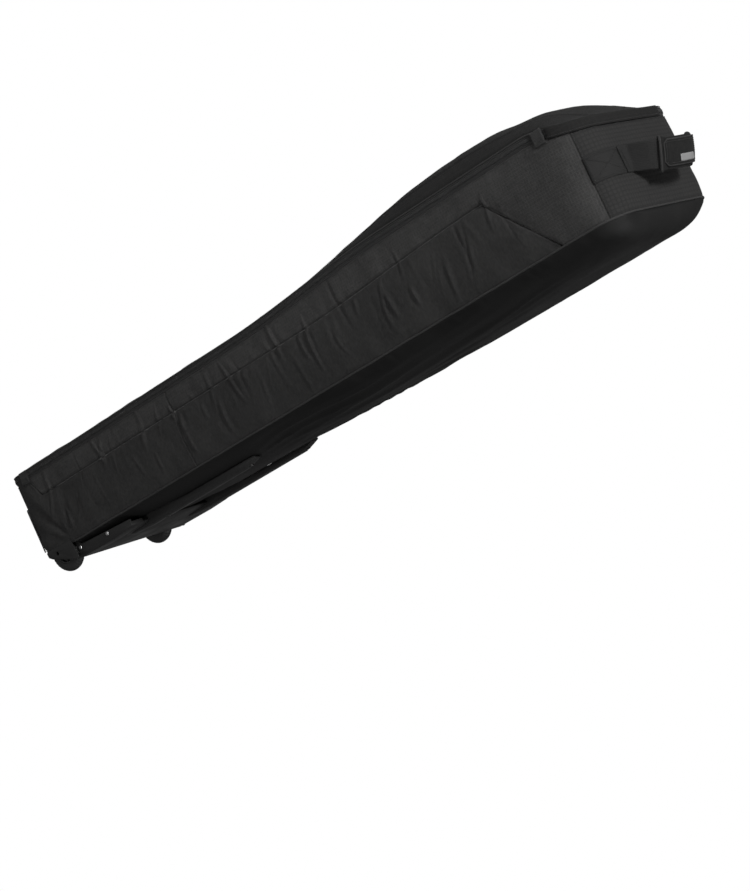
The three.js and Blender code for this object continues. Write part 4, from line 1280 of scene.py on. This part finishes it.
def anchor_paths(mirror, s_from, s_to, inset):
    """A stitched box with its cross, on the anchor between two places of the outline."""
    low, high = HANDLE_HEIGHT - WEBBING_WIDTH / 2 + inset, HANDLE_HEIGHT + WEBBING_WIDTH / 2 - inset
    corners = [(s_from, low), (s_to, low), (s_to, high), (s_from, high)]
    paths = []
    for start, end in [(0, 1), (1, 2), (2, 3), (3, 0), (0, 2), (1, 3)]:
        s = np.linspace(corners[start][0], corners[end][0], 30)
        z = np.linspace(corners[start][1], corners[end][1], 30)
        out = STRAP_OUT + WEBBING_THICKNESS / 2 + 0.0002 + 0.0045 * smooth(0, 0.05, s - HANDLE_SEAM_AT)
        points, normals = on_wall(s, z, out)
        paths.append((points * mirror, normals * mirror))
    return paths


for side_name, side in SIDES.items():
    mirror = np.array([1, 1 if side == NEAR else -1, 1])
    anchor_s = spaced(HANDLE_SEAM_AT + 0.0010, OUTLINE_LENGTH - 0.0725, 0.003)
    anchor_out = STRAP_OUT + 0.0045 * smooth(0, 0.05, anchor_s - HANDLE_SEAM_AT)
    centres, _ = on_wall(anchor_s, HANDLE_HEIGHT, anchor_out)
    anchor, _ = strap("haul_anchor_" + side_name, centres * mirror, np.tile(UPRIGHT, (len(centres), 1)),
                      WEBBING_WIDTH / 2, WEBBING_THICKNESS, WEBBING)
    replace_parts(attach(anchor, "bag"), "handle_anchor_" + side_name)

    fold_at = OUTLINE_LENGTH - FOLD_Y
    rows = anchor_paths(mirror, HANDLE_SEAM_AT + 0.004, fold_at - 0.003, 0.0035)
    stitches("anchor_stitches_" + side_name, rows, "bag", DARK_THREAD, 0.0034)
    rows = []
    for from_fold in (0.003, 0.0075):
        z = HANDLE_HEIGHT + np.linspace(-0.021, 0.021, 20)
        x = BODY_LENGTH + STRAP_OUT + 1.5 * WEBBING_THICKNESS + 0.0054
        points = np.stack([0 * z + x, 0 * z + side * (FOLD_Y - from_fold), z], 1)
        rows.append((points, np.tile([1.0, 0, 0], (20, 1))))
    stitches("strap_end_stitches_" + side_name, rows, "bag", DARK_THREAD, 0.0034)

# ---------------------------------------------------------------- padded grip wrap, its flap and patch

WRAP_FROM = math.radians(46)
WRAP_HALF_THICKNESS, WRAP_HALF_HEIGHT = 0.0062, 0.0285


def wrap_ring(angle, grow=0.0):
    """The wrap's outline round the strap at one place along the loop."""
    turns = np.linspace(0, 2 * math.pi, 48, endpoint=False)
    power = 2 / 3.2
    cosine, sine = np.cos(turns), np.sin(turns)
    middle = abs(angle - math.pi / 2) / (math.pi / 2 - WRAP_FROM)
    flare = 0.0035 * smooth(0.72, 1.0, middle) * (1 if angle < math.pi / 2 else 0.4)
    swell = 0.0016 * (1 - middle**2)
    height = (WRAP_HALF_HEIGHT + flare + grow) * np.sign(sine) * np.abs(sine) ** power
    out = (WRAP_HALF_THICKNESS + swell * 0.3 + flare * 0.6 + grow) * np.sign(cosine) * np.abs(cosine) ** power
    crease = 0.0005 * lattice_noise(turns * 2 + 3, 0 * turns + angle * 6, 91)
    return loop_point(angle, height, out + crease)[0]


wrap_angles = np.linspace(WRAP_FROM, math.pi - WRAP_FROM, 44)
outer = np.array([wrap_ring(angle) for angle in wrap_angles])
inner = np.array([wrap_ring(angle, -0.0034) for angle in wrap_angles])
rings, turns = outer.shape[:2]
points = np.concatenate([outer.reshape(-1, 3), inner.reshape(-1, 3)])
faces = grid_faces(rings, turns, around=True)
faces += [tuple(reversed(f)) for f in grid_faces(rings, turns, rings * turns, around=True)]
inside = rings * turns
for ring, turned_over in ((0, False), (rings - 1, True)):
    first = ring * turns
    for k in range(turns):
        following = (k + 1) % turns
        quad = (first + following, first + k, inside + first + k, inside + first + following)
        faces.append(tuple(reversed(quad)) if turned_over else quad)
along_wrap = np.linspace(0, 0.11, rings)[:, None] + 0 * np.zeros(turns)[None, :]
around_wrap = np.zeros(rings)[:, None] + np.linspace(0, 0.15, turns)[None, :]
uv = np.stack([along_wrap, around_wrap], -1).reshape(-1, 2)
wrap = new_mesh("grip_wrap_pad", points, outward(points, faces), WRAP_CLOTH, np.concatenate([uv, uv]))
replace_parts(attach(wrap, "haul_handle"), "grip_wrap")
for name, angle in (("near", wrap_angles[0]), ("far", wrap_angles[-1])):
    middle = (wrap_ring(angle) + wrap_ring(angle, -0.0034)) / 2
    binding = tube(
        "wrap_binding_" + name, middle, 0.0026, BINDING, 10, closed=True, up=LOOP_UP * 0.01 + [1, 0, 0]
    )
    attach(binding, "haul_handle")

FLAP_LOW, FLAP_HIGH = -0.0215, 0.0245
flap_angles = np.linspace(WRAP_FROM + 0.10, math.pi - WRAP_FROM - 0.10, 40)
flap_up = np.linspace(0, 1, 15)
flap_face = 0.0086


def flap_rim(angle):
    """How far the flap's edge draws in at its rounded corners, from 0 to 1."""
    middle = np.abs(angle - math.pi / 2) / (math.pi / 2 - WRAP_FROM - 0.10)
    return 1 - 0.30 * smooth(0.80, 1.0, middle) ** 1.5


def flap_point(angle, up, out=0.0):
    middle = (FLAP_LOW + FLAP_HIGH) / 2
    height = middle + (lerp(FLAP_LOW, FLAP_HIGH, up) - middle) * flap_rim(angle)
    crowned = flap_face + 0.0010 * (1 - (2 * up - 1) ** 2) + out
    return loop_point(angle, height, crowned)


grid_angles = flap_angles[None, :] + 0 * flap_up[:, None]
grid_up = flap_up[:, None] + 0 * flap_angles[None, :]
front, normals = flap_point(grid_angles, grid_up)
back, _ = flap_point(grid_angles, grid_up, -0.0016)
flat = np.stack(np.broadcast_arrays(flap_angles[None, :] * 0.065, flap_up[:, None] * 0.046), -1)
flap = skin("grip_flap_cloth", front, back, flat, WRAP_CLOTH)
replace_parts(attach(flap, "grip_flap"), "grip_flap")
rim_angles = np.concatenate(
    [flap_angles, np.full(10, flap_angles[-1]), flap_angles[::-1], np.full(10, flap_angles[0])]
)
rim_up = np.concatenate([np.zeros(40), np.linspace(0, 1, 12)[1:-1], np.ones(40), np.linspace(1, 0, 12)[1:-1]])
rim_path, _ = flap_point(rim_angles, rim_up, -0.0006)
rim = tube("flap_binding", rim_path, 0.0014, BINDING, 8, closed=True, up=np.array([0.9, 0, -0.4]))
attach(rim, "grip_flap")
stitch_angles = np.clip(rim_angles, flap_angles[0] + 0.06, flap_angles[-1] - 0.06)
stitch_path = flap_point(stitch_angles, np.clip(rim_up, 0.09, 0.91), 0.0003)
stitches("flap_stitches", [stitch_path], "grip_flap", THREAD_LOOK, 0.0034)

PATCH_ANGLES = (math.pi / 2 + 0.08 - 0.26, math.pi / 2 + 0.08 + 0.26)
PATCH_LOW, PATCH_HIGH = -0.0165, -0.0035
patch_a = np.linspace(*PATCH_ANGLES, 24)
patch_h = np.linspace(0, 1, 9)
from_middle = np.abs(2 * (patch_a - PATCH_ANGLES[0]) / (PATCH_ANGLES[1] - PATCH_ANGLES[0]) - 1)
corner = 1 - 0.16 * smooth(0.86, 1.0, from_middle)
middle = (PATCH_LOW + PATCH_HIGH) / 2
heights = middle + (lerp(PATCH_LOW, PATCH_HIGH, patch_h)[:, None] - middle) * corner[None, :]
edge = np.minimum(np.minimum(patch_h, 1 - patch_h)[:, None] * 2, 0.5)
patch_out = flap_face + 0.0014 + 0.0007 * smooth(0, 0.25, edge) + 0 * heights
front, normals = loop_point(patch_a[None, :] + 0 * heights, heights, patch_out)
flat = np.stack([heights * 0 + patch_a * 0.065, heights], -1)
patch = skin("grip_patch_blank", front, front - normals * 0.0012, flat, PATCH)
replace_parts(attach(patch, "grip_flap"), "grip_patch")

# ---------------------------------------------------------------- pull tabs beside the zip

TAB_WIDTH = 0.024
for tab_name, tab_x in (("wheel_end", 0.046), ("handle_end", 1.590)):
    profile = [(0.0010, -0.0265), (0.0016, -0.016), (0.0020, -0.006), (0.0022, 0.0015), (0.0031, 0.0036)]
    profile += [(0.0044, 0.0015), (0.0044, -0.006), (0.0042, -0.016), (0.0040, -0.0245)]
    profile = np.array(profile)
    steps = np.concatenate([[0], np.cumsum(np.hypot(*np.diff(profile, axis=0).T))])
    even = np.linspace(0, steps[-1], 50)
    out, rise = np.interp(even, steps, profile[:, 0]), np.interp(even, steps, profile[:, 1])
    x = tab_x + TAB_WIDTH / 2
    centres = np.stack([0 * out + x, -HALF_WIDTH - out, top_height(x) + rise], 1)
    tab, _ = strap(
        "zip_tab_" + tab_name + "_loop", centres, np.tile([1.0, 0, 0], (50, 1)), TAB_WIDTH / 2, 0.0011,
        PIPING
    )
    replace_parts(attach(tab, "bag"), "zip_tab_" + tab_name)
    low, high = top_height(x) - 0.0235, top_height(x) - 0.0105
    y = -HALF_WIDTH - 0.0049
    corners = [np.array([x + dx * 0.0095, y, z]) for dx, z in ((-1, low), (1, low), (1, high), (-1, high))]
    rows = box_stitch(corners, lambda line: np.tile([0.0, -1, 0], (len(line), 1)))
    stitches("tab_stitches_" + tab_name, rows, "bag", THREAD_LOOK, 0.0030)

# ---------------------------------------------------------------- hard parts with rounded edges


def polished(node, material, bevel, body="bag"):
    """A copy of a CAD solid with small rounded edges, for the highlights a moulding has."""
    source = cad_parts[node]
    mesh = source.data.copy()
    mesh.materials.clear()
    mesh.materials.append(material)
    obj = bpy.data.objects.new(node + "_moulded", mesh)
    bpy.context.scene.collection.objects.link(obj)
    weld = obj.modifiers.new("weld", "WELD")
    weld.merge_threshold = 1e-5
    plain = obj.modifiers.new("plain", "DECIMATE")
    plain.decimate_type = "DISSOLVE"
    plain.angle_limit = math.radians(1)
    round_off = obj.modifiers.new("edges", "BEVEL")
    round_off.width = bevel
    round_off.segments = 2
    round_off.limit_method = "ANGLE"
    round_off.angle_limit = math.radians(35)
    round_off.harden_normals = False
    graph = bpy.context.evaluated_depsgraph_get()
    obj.data = bpy.data.meshes.new_from_object(obj.evaluated_get(graph))
    obj.modifiers.clear()
    obj.data.polygons.foreach_set("use_smooth", [True] * len(obj.data.polygons))
    obj.data.set_sharp_from_angle(angle=math.radians(30))
    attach(obj, body)
    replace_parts(obj, node)
    return obj


polished("kick_plate", MOULDING, 0.0009)
for side_name in SIDES:
    polished("wheel_housing_" + side_name, MOULDING, 0.0008)
    polished("skid_runner_" + side_name, RUNNER, 0.0012)
    polished("zip_slider_" + side_name, BLACK_METAL, 0.0005, "zip_slider_" + side_name)
    polished("zip_pull_" + side_name, WEBBING, 0.0004, "zip_pull_" + side_name)
    polished("axle_nut_" + side_name, STEEL, 0.0004)


PLATE_TOP, PLATE_WRAP = 0.1642, 0.62
bead_s = WHEEL_STRAIGHT + WHEEL_CORNER * PLATE_WRAP - 0.0008
turn_in = np.linspace(0, math.pi / 2, 7)
bead_path = [(-bead_s, z) for z in spaced(0.064, PLATE_TOP - 0.006, 0.006)]
bead_path += [
    (-bead_s + 0.006 * (1 - math.cos(t)), PLATE_TOP - 0.006 + 0.006 * math.sin(t)) for t in turn_in[1:]
]
bead_path += [(s, PLATE_TOP) for s in spaced(-bead_s + 0.006, 0, 0.004)[1:]]
bead_path += [(-s, z) for s, z in bead_path[-2::-1]]
bead_path = np.array(bead_path)
path, _ = on_wall(bead_path[:, 0], bead_path[:, 1], 0.0032)
bead = tube("kick_plate_bead", path, 0.0015, RUNNER, 10, up=(0.3, 0.2, 0.9))
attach(bead, "bag")


def turned(name, profile, x, y, z, material, segments=48, shape=None):
    """A round piece on an axis along y from (radius, along) pairs, closed over the axis at both ends.

    shape may give a factor for the radius at each angle and row.
    """
    angles = np.arange(segments) * 2 * math.pi / segments
    rows = []
    for k, (radius, along) in enumerate(profile):
        radii = np.full(segments, radius) if shape is None else shape(k, radius, angles)
        rows.append(
            np.stack(
                [x + radii * np.cos(angles), np.full(segments, y + along), z + radii * np.sin(angles)], 1
            )
        )
    points = np.concatenate(rows)
    faces = grid_faces(len(profile), segments, around=True)
    if profile[0][0] == profile[-1][0] and profile[0][1] == profile[-1][1]:
        size = segments
        last = (len(profile) - 1) * size
        faces = [tuple(i - last if i >= last else i for i in f) for f in faces]
        points = points[:last]
    else:
        faces += [
            tuple(range(segments))[::-1], tuple((len(profile) - 1) * segments + k for k in range(segments))
        ]
    obj = new_mesh(name, points, outward(points, faces), material)
    obj.data.set_sharp_from_angle(angle=math.radians(38))
    return obj


def side_profile(profile, side):
    """The same profile with its distances along y measured away from the bag's middle."""
    return [(radius, side * along) for radius, along in profile]


def socket_head(k, radius, angles):
    """Rows 5 and later of the bolt's head are the six-sided recess."""
    if k < 5:
        return np.full(len(angles), radius)
    return radius * math.cos(math.pi / 6) / np.cos((angles % (math.pi / 3)) - math.pi / 6)


TREADS = 36


def tread(k, radius, angles):
    """Shallow notches across the shoulders of the tyre."""
    if k not in (4, 5, 11, 12):
        return np.full(len(angles), radius)
    notch = np.exp(-(((angles * TREADS / (2 * math.pi)) % 1 - 0.5) / 0.16) ** 2)
    return radius - 0.0017 * notch


for side_name, side in SIDES.items():
    y = side * WHEEL_Y
    body = "wheel_" + side_name
    half = WHEEL_WIDTH / 2
    profile = [
        (0.0264, -half + 0.001), (0.030, -half + 0.0006), (0.036, -half + 0.0006), (0.0395, -half + 0.0018)
    ]
    profile += [
        (0.0418, -half + 0.0034), (0.0436, -half + 0.0060), (0.0446, -half + 0.0090), (0.0450, -0.001)
    ]
    profile += [(0.0450, 0.001), (0.0446, half - 0.0090), (0.0436, half - 0.0060)]
    profile += [(0.0436, half - 0.0059), (0.0418, half - 0.0034), (0.0395, half - 0.0018)]
    profile += [
        (0.036, half - 0.0006), (0.030, half - 0.0006), (0.0264, half - 0.001), (0.0264, -half + 0.001)
    ]
    tyre = turned("tyre_" + side_name, profile, WHEEL_X, y, WHEEL_RADIUS, TYRE, 144, tread)
    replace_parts(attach(tyre, body), "wheel_tyre_" + side_name)

    polished("wheel_core_" + side_name, WHEEL_CORE, 0.0004, body)
    for face in (-1, 1):
        spokes = []
        spoke_faces = []
        for k in range(7):
            angle = 2 * math.pi * k / 7
            along = np.array([math.cos(angle), 0, math.sin(angle)])
            across = np.array([-math.sin(angle), 0, math.cos(angle)])
            first = len(spokes)
            for radius, wide in ((0.0158, 0.0020), (0.0195, 0.0012), (0.0232, 0.0020)):
                for way, deep in ((-1, 0.0042), (1, 0.0042), (0.6, 0.0086), (-0.6, 0.0086)):
                    spokes.append(along * radius + across * way * wide + np.array([0, face * deep, 0]))
            quads = grid_faces(3, 4, first, around=True) + [(first + 3, first + 2, first + 1, first)]
            quads += [(first + 8, first + 9, first + 10, first + 11)]
            spoke_faces += outward(np.array(spokes), quads) if face == 1 else quads
        points = np.array(spokes) + np.array([WHEEL_X, y, WHEEL_RADIUS])
        name = f"wheel_spokes_{'outer' if face == side else 'inner'}_{side_name}"
        ribs = new_mesh(name, points, spoke_faces, WHEEL_CORE, flat=True)
        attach(ribs, body)

    outer = HOUSING_OUTER + 0.0004
    head = [(0.0068, outer), (0.0071, outer + 0.0006), (0.0071, outer + 0.0026), (0.0064, outer + 0.0034)]
    head += [
        (0.0040, outer + 0.0034), (0.0036, outer + 0.0034), (0.0034, outer + 0.0012),
        (0.0004, outer + 0.0010)
    ]
    bolt = turned(
        "axle_head_" + side_name, side_profile(head, side), WHEEL_X, 0, WHEEL_RADIUS, STEEL, 48, socket_head
    )
    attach(bolt, "bag")

    for place, (x, z) in (("front", (0.118, 0.033)), ("rear", (0.209, 0.029))):
        start = HOUSING_OUTER + 0.0004
        dome = [(0.0044, start), (0.0046, start + 0.0004), (0.0045, start + 0.0008), (0.0040, start + 0.0014)]
        dome += [
            (0.0030, start + 0.0019), (0.0018, start + 0.0022), (0.0011, start + 0.0019),
            (0.0003, start + 0.0018)
        ]
        rivet = turned(f"rivet_{place}_{side_name}", side_profile(dome, side), x, 0, z, STEEL, 32)
        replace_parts(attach(rivet, "bag"), f"housing_rivet_{place}_{side_name}")

for node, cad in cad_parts.items():
    if cad.hide_render:
        continue
    if "bolt" in node or "bearing" in node:
        look = STEEL
    elif "screw" in node:
        look = BLACK_METAL
    elif node == "base_board":
        look = BOARD
    else:
        continue
    cad.data.materials.clear()
    cad.data.materials.append(look)
    cad.data.polygons.foreach_set("use_smooth", [True] * len(cad.data.polygons))
    cad.data.set_sharp_from_angle(angle=math.radians(35))

# ---------------------------------------------------------------- lining and padding inside


def lining(name, node, start, end, low, high, side=NEAR):
    """Foam with its quilted lining, against the inside of a wall."""
    s = spaced(start, end, 0.008)
    up = np.linspace(0, 1, 19)
    x = outline(s)[0]
    z = lerp(low(x)[None, :], high(x)[None, :], up[:, None])
    inner = 0.0089 + 0.0016 * (
        1 - np.abs(2 * up - 1) ** 3
    )[:, None] + 0.0007 * fabric_noise(s[None, :], z, 0.04, 97)
    front, _ = on_wall(s[None, :] + 0 * z, z, -inner, side)
    back, _ = on_wall(s[None, :] + 0 * z, z, -0.0032, side)
    flat = np.stack(np.broadcast_arrays(s[None, :], z), -1)
    piece = skin(name, front, back, flat, LINING)
    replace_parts(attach(piece, "bag"), node)
    return piece


lining_low = lambda x: seam_height(x) + 0.012
lining_high = lambda x: top_height(x) - ZIP_HEIGHT - 0.004
for side_name, side in SIDES.items():
    lining(
            "side_lining_" + side_name, "side_padding_" + side_name, at_x(0.130), at_x(1.618),
            lining_low, lining_high, side
        )
lining("wheel_end_lining", "wheel_end_padding", -0.115, 0.115, lambda x: 0.100 + 0 * x, lining_high)
lining(
        "handle_end_lining", "handle_end_padding", OUTLINE_LENGTH - 0.100, OUTLINE_LENGTH + 0.100,
        lining_low, lining_high
    )


def plan_lining(name, node, start, end, inset, low, high, body, facing):
    x = spaced(start, end, 0.012)[None, :]
    t = np.linspace(-1, 1, 41)[:, None]
    y = t * (half_width_at(x) - inset)
    x = x + 0 * y
    quilt = 0.0010 * fabric_noise(x, y, 0.05, 101)
    lower = np.stack([x, y, low(x, y) + (quilt if facing < 0 else 0)], -1)
    upper = np.stack([x, y, high(x, y) + (quilt if facing > 0 else 0)], -1)
    front, back = (upper, lower) if facing > 0 else (lower, upper)
    piece = skin(name, front, back, np.stack([x, y], -1), LINING)
    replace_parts(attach(piece, body), node)
    return piece


BASE_RISE = 0.010
plan_lining("base_lining", "base_padding", 0.130, 1.640, 0.012,
                        lambda x, y: base_height(x, y) + BASE_RISE,
                        lambda x, y: base_height(x, y) + BASE_RISE + 0.0055, "bag", 1)
over = lambda x, y: lid_height(x, y / half_width_at(x))
plan_lining("lid_lining", "lid_padding", 0.030, 1.650, 0.014,
                        lambda x, y: over(x, y) - 0.0105, lambda x, y: over(x, y) - 0.0045, "lid", -1)

# ---------------------------------------------------------------- lining over the wheels

WELL_HEIGHT, WELL_FLOOR = 0.104, 0.034
well_x = np.concatenate([spaced(0.004, 0.112, 0.006), np.linspace(0.114, 0.134, 9)])
well_section = [
    (0.1535, WELL_HEIGHT), (0.146, WELL_HEIGHT + 0.001), (0.135, WELL_HEIGHT + 0.001), (0.118, WELL_HEIGHT)
]
well_section += [
    (0.110, WELL_HEIGHT - 0.004), (0.1065, WELL_HEIGHT - 0.012), (0.1050, 0.075), (0.1045, 0.055)
]
well_section += [(0.1040, WELL_FLOOR)]
section = np.array(well_section)
for side_name, side in SIDES.items():
    drop = smooth(0.112, 0.134, well_x)[None, :]
    floor_height = base_height(well_x[None, :], section[:, :1]) + 0.004
    z = lerp(np.maximum(section[:, 1:], floor_height), floor_height, drop)
    crease = 0.0008 * fabric_noise(well_x[None, :] + 3 * side, section[:, :1] + z, 0.03, 105)
    y = np.minimum(section[:, :1], half_width_at(well_x)[None, :] - 0.0045) + crease
    front = np.stack(np.broadcast_arrays(well_x[None, :], side * y, z + crease), -1)
    normals = grid_normals(front, np.array([0.3, -0.6 * side, 0.7]))
    flat = np.stack(np.broadcast_arrays(well_x[None, :], np.linspace(0, 0.12, len(section))[:, None]), -1)
    well = skin("wheel_well_lining_" + side_name, front, front - normals * 0.0014, flat, LINING)
    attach(well, "bag")

# ---------------------------------------------------------------- cell areas of each finished panel

for key in ("lower_near", "lower_far", "upper_near", "upper_far", "wheel_end", "handle_end", "base", "lid"):
    panel = panels[key]
    # The area is that of the finished face with its folds.
    across, up = np.diff(panel.points, axis=1), np.diff(panel.points, axis=0)
    cells = np.linalg.norm(np.cross(across[:-1], up[:, :-1]), axis=-1)

# ---------------------------------------------------------------- floor, backdrop, lights and camera

FLOOR_REACH, BACKDROP_RADIUS = 45.0, 60.0
floor_mesh = bpy.data.meshes.new("floor")
floor_corners = [(FLOOR_REACH * x, FLOOR_REACH * y, 0) for x, y in ((-1, -1), (1, -1), (1, 1), (-1, 1))]
floor_mesh.from_pydata(floor_corners, [], [(0, 1, 2, 3)])
floor = bpy.data.objects.new("floor", floor_mesh)
bpy.context.scene.collection.objects.link(floor)
floor_look = Look("floor", 0.9, 0.1)
floor_look.shader.inputs["Base Color"].default_value = (0.30, 0.30, 0.30, 1)
floor_look.shader.inputs["Emission Color"].default_value = (1, 1, 1, 1)
floor_look.shader.inputs["Emission Strength"].default_value = 0.62
geometry = floor_look.node("ShaderNodeNewGeometry")
clear = floor_look.node("ShaderNodeBsdfTransparent")
one_sided = floor_look.node("ShaderNodeMixShader", {0: geometry.outputs["Backfacing"]})
floor_look.put(one_sided.inputs[1], floor_look.shader.outputs[0])
floor_look.put(one_sided.inputs[2], clear.outputs[0])
floor_look.put(floor_look.tree.nodes["Material Output"].inputs[0], one_sided.outputs[0])
floor_mesh.materials.append(floor_look.material)
floor.visible_diffuse = False
floor.visible_glossy = False
floor.visible_shadow = False

backdrop_mesh = bpy.data.meshes.new("backdrop")
backdrop_points = []
for row in range(13):
    for column in range(24):
        lat, lon = math.pi * row / 12, 2 * math.pi * column / 24
        way = (math.sin(lat) * math.cos(lon), math.sin(lat) * math.sin(lon), math.cos(lat))
        backdrop_points.append([BACKDROP_RADIUS * part for part in way])
backdrop_mesh.from_pydata(backdrop_points, [], grid_faces(13, 24, around=True))
backdrop = bpy.data.objects.new("backdrop", backdrop_mesh)
bpy.context.scene.collection.objects.link(backdrop)
backdrop_look = Look("backdrop", 1.0, 0.0)
backdrop_look.shader.inputs["Base Color"].default_value = (0, 0, 0, 1)
backdrop_look.shader.inputs["Emission Color"].default_value = (1, 1, 1, 1)
backdrop_look.shader.inputs["Emission Strength"].default_value = 1.0
backdrop_mesh.materials.append(backdrop_look.material)
backdrop.visible_diffuse = False
backdrop.visible_glossy = False
backdrop.visible_shadow = False
backdrop.visible_transmission = False

scene = bpy.context.scene
scene.view_settings.view_transform = "Standard"
world = bpy.data.worlds.new("studio")
world.use_nodes = True
sky = world.node_tree
direction = sky.nodes.new("ShaderNodeTexCoord")
upward = sky.nodes.new("ShaderNodeSeparateXYZ")
strength = sky.nodes.new("ShaderNodeMapRange")
sky.links.new(direction.outputs["Generated"], upward.inputs[0])
sky.links.new(upward.outputs[2], strength.inputs["Value"])
for socket, value in (("From Min", -0.30), ("From Max", 0.30), ("To Min", 0.10), ("To Max", 0.30)):
    strength.inputs[socket].default_value = value
sky.nodes["Background"].inputs[0].default_value = (1, 1, 1, 1)
sky.links.new(strength.outputs[0], sky.nodes["Background"].inputs[1])
scene.world = world

# The bag's bottom seam drops a little towards the handle end, and the camera was placed square to it.
CAMERA_AZIMUTH = math.radians(39.452)
CAMERA_ELEVATION = math.radians(-6.242)
CAMERA_ROLL = math.radians(-24.544)
CAMERA_DISTANCE, CAMERA_RIGHT, CAMERA_UP, CAMERA_LENS = 4.8565, 0.086, -0.1865, 98.72
back = Vector((
    math.sin(CAMERA_AZIMUTH) * math.cos(CAMERA_ELEVATION),
    -math.cos(CAMERA_AZIMUTH) * math.cos(CAMERA_ELEVATION),
    math.sin(CAMERA_ELEVATION),
))
level = Vector((0, 0, 1)).cross(back).normalized()
above = back.cross(level)
right = level * math.cos(CAMERA_ROLL) + above * math.sin(CAMERA_ROLL)
up = above * math.cos(CAMERA_ROLL) - level * math.sin(CAMERA_ROLL)
tilt = Matrix.Rotation(math.atan((WHEEL_SEAM - HANDLE_SEAM) / BODY_LENGTH), 3, "Y")
aim = Vector((BODY_LENGTH / 2, 0, 0.09))
eye = aim + right * CAMERA_RIGHT + up * CAMERA_UP + back * CAMERA_DISTANCE
camera_data = bpy.data.cameras.new("camera")
camera_data.lens = CAMERA_LENS
camera_data.sensor_width = 36
camera_data.clip_start, camera_data.clip_end = 0.05, 120
camera = bpy.data.objects.new("camera", camera_data)
scene.collection.objects.link(camera)
axes = Matrix((tilt @ right, tilt @ up, tilt @ back)).transposed()
camera.matrix_world = axes.to_4x4()
camera.location = tilt @ eye + Vector((SHIFT[0], 0, WHEEL_SEAM))
scene.camera = camera


def soft_light(name, direction, distance, size, power):
    """A large square lamp, in a direction given along the camera's right, up and back."""
    lamp = bpy.data.lights.new(name, "AREA")
    lamp.shape = "SQUARE"
    lamp.size = size
    lamp.energy = power
    obj = bpy.data.objects.new(name, lamp)
    scene.collection.objects.link(obj)
    way = (axes @ Vector(direction)).normalized()
    obj.location = Vector((0, 0, 0.15)) + way * distance
    obj.rotation_euler = way.to_track_quat("Z", "Y").to_euler()
    return obj


soft_light("key", (-0.5, 0.9, 0.9), 4.0, 2.0, 55)
soft_light("rake", (0.48, 0.42, 0.88), 4.0, 0.6, 150)
soft_light("right", (1.0, 0.1, 0.4), 4.0, 1.6, 15)
soft_light("low", (-0.41, -0.49, 0.73), 4.0, 1.0, 42)
soft_light("under", (0.9, -0.75, 0.4), 4.0, 2.2, 60)
soft_light("overhead", (0.0, 0.6, -0.9), 4.5, 2.6, 12)
